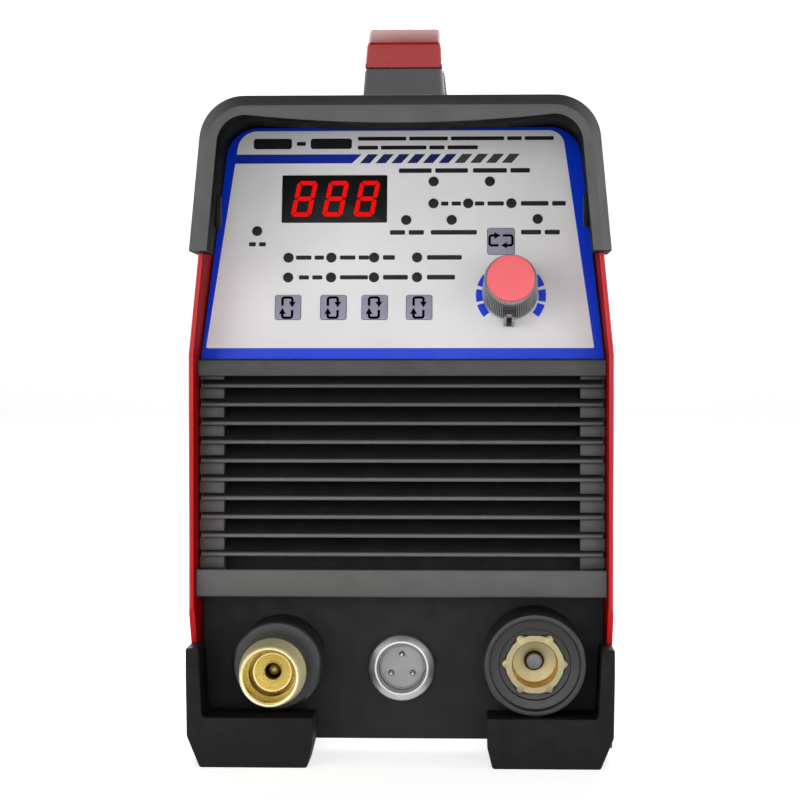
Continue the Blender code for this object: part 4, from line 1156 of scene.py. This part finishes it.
# ---- Connectors ---------------------------------------------------------------------------------
def make_torch_outlet():
    """Insulator, flared brass nozzle with a blasted funnel, and the ball-ended gas pin."""
    at = (TORCH_AT[0], LOWER_PANEL_Y, TORCH_AT[2])
    bm = turned(None, [(8.5, 0.3), (17.3, 0.3), (17.4, 24.0), (16.5, 25.0), (8.5, 25.0)], at, 96,
                ring=True, round_off=0.3, steps=2)
    bmesh.ops.recalc_face_normals(bm, faces=bm.faces)
    mark_faces(bm, lambda face, _: face.normal.y < -0.3)
    piece("torch_collar", bm, "black_plastic", "cup_grey", stands_for=("torch_insulator",))
    bm = bmesh.new()
    profile = [(7.9, -13.0), (7.9, 25.3), (9.4, 25.3), (9.6, 26.2), (9.6, 36.4), (12.5, 40.2),
               (12.9, 41.4), (12.8, 43.2), (11.5, 54.6), (11.1, 56.0), (10.4, 56.0),
               (9.9, 54.8), (8.8, 46.0), (7.4, 42.4), (4.6, 40.9), (3.1, 40.0), (3.1, -13.0)]
    turned(bm, profile, at, 96, ring=True, round_off=0.6, steps=3)
    bmesh.ops.recalc_face_normals(bm, faces=bm.faces)

    # The outer flank takes the pale second material: painted sheen on the bell.
    def on_flank(face, centre):
        outwards = face.normal.x * (centre.x - at[0]) + face.normal.z * (centre.z - at[2])
        return outwards > 0 and centre.y < at[1] - 37.0

    mark_faces(bm, on_flank)
    piece("torch_bell", bm, "nozzle_brass", "brass_flank_painted_sheen", slot="brass",
          stands_for=("torch_nozzle",))
    bm = bmesh.new()
    dome = arc(2.55, [math.radians(a) for a in range(0, 90, 12)], (0, 33.6))
    turned(bm, [(2.55, 20.0)] + dome + [(0.1, 36.15)], at, 40)
    piece("torch_pin_ball", bm, "aged_brass", slot="brass", stands_for=("torch_gas_pin",))


def make_output_socket():
    """Stepped insulating cup, chamfered brass hexagon with its blasted bore, steel pin."""
    at = (OUTPUT_AT[0], LOWER_PANEL_Y, OUTPUT_AT[2])
    bm = bmesh.new()
    cup = [(9.6, 0.3), (19.7, 0.3), (19.8, 31.9), (19.4, 33.0), (17.8, 33.0), (17.3, 32.3),
           (17.2, 30.0), (13.9, 30.0), (13.7, 28.6), (9.6, 28.6)]
    turned(bm, cup, at, 96, ring=True, round_off=0.25, steps=2)
    pocket = slab(None, circle(13.1, 6, (at[0], at[2])), "Y", at[1] - 19.0, at[1] - 35.0)
    piece("output_cup", carve(bm, pocket), "cup_grey", slot="black_plastic",
          stands_for=("output_insulator",))

    front, back, segments = 29.8, 19.3, 144
    corner = 12.8
    flats = corner * FLAT_SHARE
    bore = fillet([(8.9, front), (8.6, front - 0.5), (8.5, 18.0), (3.7, 18.0), (3.7, 2.2)], 0.3, 2,
                  closed=False)
    bm = bmesh.new()
    loops = rings_at(at, [(9.2, -16.8), (9.2, back)], segments)
    loops += hexagons_at(at, [(flats, corner - 0.4, back), (flats, corner - 0.05, back + 0.9),
                              (flats, corner - 0.05, front - 0.55), (flats, corner - 1.55, front)],
                         segments, math.pi / 6)
    loops += rings_at(at, bore, segments)
    skin(bm, loops)

    def bore_wall(_, centre):
        here = centre - Vector(at)
        return 8.3 < math.hypot(here.x, here.z) < 8.75 and -front < here.y < -18.1

    mark_faces(bm, bore_wall)
    piece("output_hexagon", bm, "output_brass", "blasted_brass", slot="brass",
          stands_for=("output_socket",))
    bm = turned(None, [(3.3, 2.4), (3.3, 20.6), (2.9, 21.1), (0.3, 21.2)], at, 40, round_off=0.2)
    piece("output_steel_pin", bm, "dull_steel", slot="zinc_steel", stands_for=("output_pin",))


def make_control_socket():
    """Nickel flange with a turned cone, the grey insert, and its three pins."""
    at = (SOCKET_AT[0], LOWER_PANEL_Y, SOCKET_AT[2])
    bm = bmesh.new()
    shell = [(9.2, -12.0), (10.0, -12.0), (10.0, 0.3), (13.3, 0.3), (13.3, 2.6), (12.9, 3.6),
             (10.7, 5.1), (10.0, 5.2), (9.75, 4.4), (9.2, 3.8)]
    turned(bm, shell, at, 96, ring=True, round_off=0.3, steps=2)
    piece("control_socket_flange", bm, "nickel", stands_for=("control_socket_shell",))
    pin_circle = 5.0
    places = arc(pin_circle, [math.radians(90 + 120 * i) for i in range(3)])
    bm = turned(None, [(8.95, -10.0), (8.95, 0.2), (8.5, 0.5), (8.2, -0.8), (0.4, -0.95)], at, 72)
    tool = bmesh.new()
    for x, z in places:
        turned(tool, [(1.15, -5), (1.15, 3)], (at[0] + x, at[1], at[2] + z), 24)
    piece("control_socket_face", carve(bm, tool), "socket_insert",
          stands_for=("control_socket_insert",))
    for number, (x, z) in enumerate(places, start=1):
        bm = bmesh.new()
        dome = arc(0.8, [math.radians(a) for a in range(0, 90, 15)], (0, 2.4))
        turned(bm, [(0.8, -13.0)] + dome + [(0.05, 3.2)], (at[0] + x, at[1], at[2] + z), 20)
        piece("control_socket_contact_%d" % number, bm, "nickel",
              stands_for=("control_socket_pin_%d" % number,))


# ---- Handle -------------------------------------------------------------------------------------
def make_handle():
    """Bow along the top: grey core with two feet, and a red grip over its upper side."""
    foot = low("handle_core")[2]
    top = high("handle_grip")[2]
    reach = (high("handle_core")[1] - low("handle_core")[1]) / 2
    half_width = high("handle_core")[0]
    taper = 0.045

    def arch(span, crown, drop, count=36):
        rows = []
        for i in range(count + 1):
            u = span - 2 * span * i / count
            rows.append((u, crown - drop * (u / span) ** 2))
        return rows

    def loft(outline, edge, steps=4):
        """Skins the outline across the handle, with its long edges rounded."""
        bm = bmesh.new()
        loops = []
        quarter = [math.pi / 2 * k / steps for k in range(steps + 1)]
        rows = [(-1, edge * (1 - math.cos(t)), edge * (1 - math.sin(t))) for t in quarter]
        rows += [(1, edge * (1 - math.cos(t)), edge * (1 - math.sin(t))) for t in quarter[::-1]]
        for side, pull, shrink in rows:
            loop = []
            for u, z in inset(outline, shrink) if shrink > 1e-6 else outline:
                half = half_width - taper * (z - foot) - pull
                loop.append((side * half, BODY_MID - u, z))
            loops.append(loop)
        skin(bm, loops)
        return bm

    split = arch(reach - 9.0, 290.2, 15.6)
    under = arch(reach - 40.0, 283.0, 10.0)
    core = [(reach, foot)] + split + [(-reach, foot), (-reach + 32, foot), (-reach + 36, 266.0)]
    core += under[::-1] + [(reach - 36, 266.0), (reach - 32, foot)]
    radii = [0.5] + [1.2] + [0] * (len(split) - 2) + [1.2] + [0.5, 0.5, 6.0] + [3.0] + [0] * (
        len(under) - 2) + [3.0] + [6.0, 0.5]
    piece("handle_bow", loft(fillet(core, radii, 4), 1.6), "handle_grey",
          slot="grey_plastic", stands_for=("handle_core",))
    seam = [(u, z + 0.3) for u, z in split]
    nose = [(reach - 13.0, 285.0), (reach - 14.0, 286.0), (reach - 24.0, 293.2)]
    upper = nose + arch(reach - 40.0, top, 4.2) + [(-u, z) for u, z in reversed(nose)]
    grip = upper + seam[::-1]
    radii = [0.4, 0.5, 4.0] + [0] * (len(upper) - 6) + [4.0, 0.5, 0.4]
    radii += [0.4] + [0] * (len(seam) - 2) + [0.4]
    piece("handle_red_grip", loft(fillet(grip, radii, 3), 1.6), "red_grip",
          stands_for=("handle_grip",))


# ---- Rear panel and its fittings ----------------------------------------------------------------
DUCT_RADIUS = 57.0


def make_rear_panel():
    """Steel back plate with round holes, its screws, and a blank rating plate."""
    plate_back = low("rear_panel")[1]
    inset_by = SHEET + 0.3
    outline = cover_arch(inset_by, COVER_BASE)
    bm = slab(None, outline, "Y", plate_back, REAR_PANEL_Y, edge=0.3)
    tool = bmesh.new()
    through = (REAR_PANEL_Y - 9, REAR_PANEL_Y + 9)
    fan_x, _, fan_z = middle("fan_rotor")
    switch_x, _, switch_z = middle("power_switch_housing")
    gland_x, _, gland_z = middle("cord_gland")
    slab(tool, circle(DUCT_RADIUS, 96, (fan_x, fan_z)), "Y", *through)
    slab(tool, rectangle(28.6, 22.6, (switch_x, switch_z), 0.8), "Y", *through)
    for x, z, radius in ((gland_x, gland_z, 10.3), (GAS_AT[0], GAS_AT[2], 6.3),
                         (EARTH_AT[0], EARTH_AT[2], 3.3)):
        slab(tool, circle(radius, 40, (x, z)), "Y", *through)
    piece("rear_plate", carve(bm, tool), "panel_black", slot="black_plastic",
          stands_for=("rear_panel",))

    screws = bmesh.new()
    for x, z in ((-71.0, 66.0), (71.0, 66.0), (-71.0, 150.0), (71.0, 150.0), (-60.0, 238.0),
                 (60.0, 238.0)):
        pan_screw(screws, (x, REAR_PANEL_Y, z))
    piece("rear_panel_screws", screws, "zinc_steel")

    bm = slab(None, rectangle(58.0, 26.0, (0.0, 222.0), 2.0), "Y", REAR_PANEL_Y, REAR_PANEL_Y + 0.6,
              edge=0.2)
    for x in (-25.5, 25.5):
        turned(bm, [(1.6, -0.3), (1.6, -0.9), (1.2, -1.3), (0.2, -1.45)], (x, REAR_PANEL_Y, 222.0),
               24)
    piece("rating_plate", bm, "aluminium")


def pan_screw(bm, at, radius=3.2):
    """Pan head with a cross recess, facing +Y."""
    head = turned(None, [(0.3, 0.4), (radius, 0.4), (radius, -0.7), (radius * 0.8, -1.6),
                         (radius * 0.4, -2.0), (0.2, -2.1)], segments=32)
    cross = slab(None, rectangle(0.8, 3.4), "Y", 1.1, 3.0)
    arm = slab(None, rectangle(3.4, 0.8), "Y", 1.1, 3.0)
    add_copy(bm, carve(head, carve(cross, arm, "UNION")), Matrix.Translation(at))


def make_fan():
    """Fan frame with a round duct and four arms, swept blades, and the wire guard."""
    front, back = low("fan_frame")[1], high("fan_frame")[1]
    x, _, z = middle("fan_rotor")
    bm = bmesh.new()
    size = high("fan_frame")[0] - low("fan_frame")[0]
    slab(bm, rectangle(size, size, (x, z), 5.0, 6), "Y", front, back, edge=0.4, back_edge=0.4)
    duct = slab(None, circle(DUCT_RADIUS, 96, (x, z)), "Y", front + 4, back + 5)
    bm = carve(bm, duct)
    for i in range(4):
        port = bmesh.new()
        angles = [math.radians(90 * i + 6 + 78 * k / 12) for k in range(13)]
        outline = arc(56, angles, (x, z)) + arc(24, angles[::-1], (x, z))
        slab(port, outline, "Y", front - 5, front + 9)
        bm = carve(bm, port)
    piece("fan_duct", bm, "black_plastic", stands_for=("fan_frame",))

    blades = 7
    hub_back = back - 1.0
    bm = bmesh.new()
    turned(bm, [(3.0, 0.4), (19.6, 0.4), (20.0, 1.0), (20.0, 16.0), (18.0, 17.4), (0.5, 17.4)],
           (x, hub_back, z), 72)
    for i in range(blades):
        sweep = []
        for k in range(9):
            share = k / 8
            radius = 18.6 + 35.4 * share
            angle = 2 * math.pi * i / blades + math.radians(10) * share ** 2
            twist = math.radians(38 - 10 * share)
            chord = 9.0 + 3.5 * share
            section = []
            for across, thick in ((-1, 0), (-0.5, 0.7), (0, 0.85), (0.5, 0.7), (1, 0), (0.5, -0.5),
                                  (0, -0.6), (-0.5, -0.5)):
                camber = 1.1 * (1 - across ** 2)
                flat = across * chord
                lift = thick * 0.9 + camber + 0.08
                run = flat * math.cos(twist) - lift * math.sin(twist)
                rise = flat * math.sin(twist) + lift * math.cos(twist)
                section.append((x + radius * math.cos(angle) - run * math.sin(angle),
                                hub_back - 8.5 + rise,
                                z + radius * math.sin(angle) + run * math.cos(angle)))
            sweep.append(section)
        skin(bm, sweep)
    piece("fan_impeller", bm, "black_plastic", body="fan_wheel", stands_for=("fan_rotor",))

    wire = 1.0
    wire_y = REAR_PANEL_Y + 0.3 + wire
    bm = bmesh.new()
    for radius in (15.0, 27.0, 38.0, 49.0, 60.0):
        path = [(x + a, wire_y, z + b) for a, b in circle(radius, 96)]
        tube(bm, path, wire, 10, closed=True)
    spokes = 6
    for i in range(spokes):
        angle = 2 * math.pi * (i + 0.5) / spokes
        ends = [(x + r * math.cos(angle), wire_y, z + r * math.sin(angle)) for r in (14.4, 60.6)]
        tube(bm, ends, wire * 0.95, 10)
    slab(bm, circle(14.6, 64, (x, z)), "Y", REAR_PANEL_Y + 0.7, REAR_PANEL_Y + 1.9, edge=0.4,
         back_edge=0.4)
    for i in range(4):
        angle = math.radians(45 + 90 * i)
        eye = 52.5 * math.sqrt(2)
        at = (x + eye * math.cos(angle), z + eye * math.sin(angle))
        tube(bm, [(at[0] + a, wire_y, at[1] + b) for a, b in circle(4.2, 24)], wire, 10, True)
        ends = [(x + r * math.cos(angle), wire_y, z + r * math.sin(angle))
                for r in (60.5, eye - 4.0)]
        tube(bm, ends, wire * 0.95, 10)
        pan_screw(bm, (at[0], REAR_PANEL_Y, at[1]), 3.1)
    piece("fan_wire_guard", bm, "zinc_steel", stands_for=("fan_guard",))


def make_power_switch():
    """Bezel with its well, and the rocker with a dished face and two raised marks."""
    x, _, z = middle("power_switch_housing")
    bm = bmesh.new()
    slab(bm, rectangle(28.0, 22.0, (x, z), 0.8), "Y", REAR_PANEL_Y - 20.0, REAR_PANEL_Y + 1.5)
    bezel = slab(None, rectangle(33.0, 27.0, (x, z), 1.8, 5), "Y", REAR_PANEL_Y + 0.3,
                 REAR_PANEL_Y + 2.6, edge=0.7, steps=3)
    bm = carve(bm, bezel, "UNION")
    well = bmesh.new()
    slab(well, rectangle(24.4, 19.2, (x, z), 0.5), "Y", REAR_PANEL_Y - 9.0, REAR_PANEL_Y + 9.0)
    piece("switch_bezel", carve(bm, well), "black_plastic", stands_for=("power_switch_housing",))

    pivot = Vector(JOINTS["power_rock"]["pos_m"]) / MM
    tilt = Matrix.Translation(pivot) @ Matrix.Rotation(math.radians(9.0), 4, "X")
    dish = [(8.6 - 17.2 * k / 16, 3.9 + 0.75 * abs(1 - k / 8) ** 1.4) for k in range(17)]
    dish = [(up, out - (0.9 if k in (0, 16) else 0.0)) for k, (up, out) in enumerate(dish)]
    outline = [(out, up) for up, out in dish + [(-7.0, -2.6), (0, -5.4), (7.0, -2.6)]]
    bm = bmesh.new()
    slab(bm, fillet(outline, [0.5] + [0] * 15 + [0.5] + [0.8] * 3), "X", -11.8, 11.8, edge=0.5,
         back_edge=0.5)
    piece("rocker_cap", bm, "black_plastic", body="power_rocker", place=tilt,
          stands_for=("power_rocker",))
    bm = slab(None, rectangle(0.8, 3.6, (0, 5.0), 0.2), "Y", 3.6, 4.42)
    ring = [[(a, y, b - 5.0) for a, b in circle(radius, 32)]
            for radius, y in ((1.9, 3.6), (1.9, 4.42), (1.25, 4.42), (1.25, 3.6))]
    skin(bm, ring, closed=True)
    piece("rocker_marks", bm, "print_white", slot="overlay_film", body="power_rocker", place=tilt)


def make_rear_fittings():
    """Cord gland with a domed nut, barbed gas inlet, and the earth bolt with its washer."""
    gland_x, _, gland_z = middle("cord_gland")
    at = (gland_x, REAR_PANEL_Y, gland_z)
    bm = bmesh.new()
    flange = 13.8 * FLAT_SHARE
    loops = rings_at(at, [(6.0, 12.0), (10.0, 12.0), (10.0, -0.3)])
    loops += hexagons_at(at, [(flange, 13.0, -0.3), (flange, 13.8, -1.0), (flange, 13.8, -6.2),
                              (flange, 13.1, -7.0)])
    sides = 96
    for radius, distance, flute in ((11.2, -7.4, 0.0), (11.6, -8.0, 0.25), (10.7, -19.0, 0.25),
                                    (10.2, -20.6, 0.0), (9.3, -22.8, 0.0), (8.4, -24.0, 0.0),
                                    (6.3, -24.0, 0.0), (6.0, -23.6, 0.0)):
        loop = []
        for i in range(sides):
            angle = 2 * math.pi * i / sides
            reach = radius - flute * (i % 8 < 2)
            loop.append((at[0] + reach * math.cos(angle), at[1] - distance,
                         at[2] + reach * math.sin(angle)))
        loops.append(loop)
    skin(bm, loops, closed=True)
    piece("gland_body", bm, "black_plastic", stands_for=("cord_gland",))

    at = (GAS_AT[0], REAR_PANEL_Y, GAS_AT[2])
    bm = bmesh.new()
    flats = 9.2 * FLAT_SHARE
    loops = rings_at(at, [(2.4, 14.0), (6.0, 14.0), (6.0, -0.3)])
    loops += hexagons_at(at, [(flats, 8.5, -0.3), (flats, 9.2, -0.9), (flats, 9.2, -5.2),
                              (flats, 8.4, -6.0)])
    barbs = [(4.6, -6.9), (4.6, -9.0), (5.4, -9.3), (5.3, -10.0), (4.4, -15.0), (5.4, -15.3),
             (5.3, -16.0), (4.4, -21.0), (5.4, -21.3), (5.3, -22.0), (4.2, -26.6), (3.8, -27.0),
             (2.4, -27.0)]
    loops += rings_at(at, barbs)
    skin(bm, loops, closed=True)
    piece("gas_spigot", bm, "gas_brass", slot="brass", stands_for=("gas_inlet",))

    at = (EARTH_AT[0], REAR_PANEL_Y, EARTH_AT[2])
    bm = bmesh.new()
    head = 5.6 * FLAT_SHARE
    loops = rings_at(at, [(0.2, 10.0), (3.0, 10.0), (3.0, -0.8)])
    loops += hexagons_at(at, [(head, 5.6, -0.8), (head, 5.6, -4.4), (head, 5.1, -4.9)])
    loops += rings_at(at, [(4.4, -5.0)])
    skin(bm, loops)
    turned(bm, [(3.1, -0.05), (6.2, -0.05), (6.2, -0.9), (3.1, -0.9)], at, 48, ring=True)
    piece("earth_stud", bm, "zinc_steel", stands_for=("earth_bolt",))


# ---- The machine --------------------------------------------------------------------------------
def build_machine():
    make_cover()
    make_hood("front_rim", "front_hood", "front")
    make_hood("rear_rim", "rear_hood", "rear")
    for end in ("front", "rear"):
        for side, label in ((-1, "left"), (1, "right")):
            make_guard("guard_%s_%s" % (end, label), "foot_%s_%s" % (end, label), side, end)
    make_louvre()
    make_overlay()
    make_stripes()
    make_captions()
    make_knob_scale()
    make_lamps()
    make_display()
    make_keys()
    make_knob()
    make_torch_outlet()
    make_output_socket()
    make_control_socket()
    make_handle()
    make_rear_panel()
    make_fan()
    make_power_switch()
    make_rear_fittings()


# ---- Studio -------------------------------------------------------------------------------------
def make_floor():
    bm = bmesh.new()
    half, bend = 2.4, 0.8
    profile = [(-2.2, 0.0), (half - bend, 0.0)]
    profile += [(half - bend + bend * math.sin(t), bend - bend * math.cos(t))
                for t in (math.pi / 2 * k / 12 for k in range(1, 13))]
    rows = [[bm.verts.new((x, y, z)) for y, z in profile] for x in (-3.0, 3.0)]
    for i in range(len(profile) - 1):
        bm.faces.new((rows[0][i], rows[1][i], rows[1][i + 1], rows[0][i + 1]))
    mesh = bpy.data.meshes.new("floor")
    bm.to_mesh(mesh)
    bm.free()
    mesh.shade_smooth()
    mesh.materials.append(MATERIALS["floor"])
    floor = bpy.data.objects.new("floor", mesh)
    bpy.context.scene.collection.objects.link(floor)
    return floor


def aim(obj, target):
    direction = Vector(target) - obj.location
    obj.rotation_euler = direction.to_track_quat("-Z", "Y").to_euler()


def area_light(name, location, target, size, power, tint=(1, 1, 1), height=None):
    light = bpy.data.lights.new(name, "AREA")
    light.shape = "RECTANGLE"
    light.size = size
    light.size_y = height or size
    light.energy = power
    light.color = tint
    obj = bpy.data.objects.new(name, light)
    bpy.context.scene.collection.objects.link(obj)
    obj.location = location
    aim(obj, target)
    return obj


def make_lights():
    """Low softboxes in front and at both sides, nothing overhead, and a dim room."""
    target = (0.0, 0.0, 0.13)
    for name, x, y, z, power in (("front", 0.0, -1.9, 0.25, 7.9),
                                 ("front_left", -1.0, -1.5, 0.3, 7.8),
                                 ("front_right", 1.0, -1.5, 0.3, 4.2),
                                 ("front_high", 0.0, -1.3, 1.3, 1.5),
                                 ("left", -1.6, -0.6, 0.3, 5.0),
                                 ("right", 1.6, -0.6, 0.3, 8.0),
                                 ("back", 0.0, 1.4, 1.0, 30.0)):
        area_light(name, (x, y, z), target, 0.9, power)
    make_room()


def make_room():
    """Dim walls for diffuse light. Gloss also sees bright panels up in front and behind."""
    world = bpy.data.worlds.new("room")
    bpy.context.scene.world = world
    world.use_nodes = True
    tree = world.node_tree

    def blend(factor, low_value, high_value, low_in=0.0, high_in=1.0):
        node = tree.nodes.new("ShaderNodeMapRange")
        tree.links.new(factor, node.inputs["Value"])
        node.inputs["From Min"].default_value = low_in
        node.inputs["From Max"].default_value = high_in
        for name, value in (("To Min", low_value), ("To Max", high_value)):
            if isinstance(value, float):
                node.inputs[name].default_value = value
            else:
                tree.links.new(value, node.inputs[name])
        return node.outputs["Result"]

    split = tree.nodes.new("ShaderNodeSeparateXYZ")
    tree.links.new(tree.nodes.new("ShaderNodeTexCoord").outputs["Generated"], split.inputs[0])
    height = split.outputs["Z"]
    sideways = tree.nodes.new("ShaderNodeMath")
    sideways.operation = "ABSOLUTE"
    tree.links.new(split.outputs["X"], sideways.inputs[0])
    panels = blend(sideways.outputs[0], 0.35, 1.0, 0.2, 0.3)
    front = blend(height, 0.35, panels, 0.25, 0.38)
    rear = blend(height, 0.4, 2.2, 0.15, 0.3)
    around = blend(split.outputs["Y"], front, rear, -0.05, 0.05)
    gloss = blend(height, around, 0.05, 0.84, 0.9)
    path = tree.nodes.new("ShaderNodeLightPath")
    seen = blend(path.outputs["Is Glossy Ray"], 0.04, gloss)
    seen = blend(path.outputs["Is Camera Ray"], seen, 1.0)
    background = tree.nodes["Background"]
    tree.links.new(seen, background.inputs["Strength"])
    background.inputs["Color"].default_value = (1, 1, 1, 1)


def make_camera():
    camera = bpy.data.objects.new("camera", bpy.data.cameras.new("camera"))
    bpy.context.scene.collection.objects.link(camera)
    camera.location = (0.0283, -0.986, 0.1521)
    camera.rotation_euler = (math.radians(89.24), 0.0, math.radians(2.0))
    camera.data.lens = 94.8
    camera.data.sensor_width = 36.0
    camera.data.clip_start = 0.01
    bpy.context.scene.camera = camera


bpy.context.scene.view_settings.view_transform = "Standard"
build_machine()
make_floor()
make_lights()
make_camera()
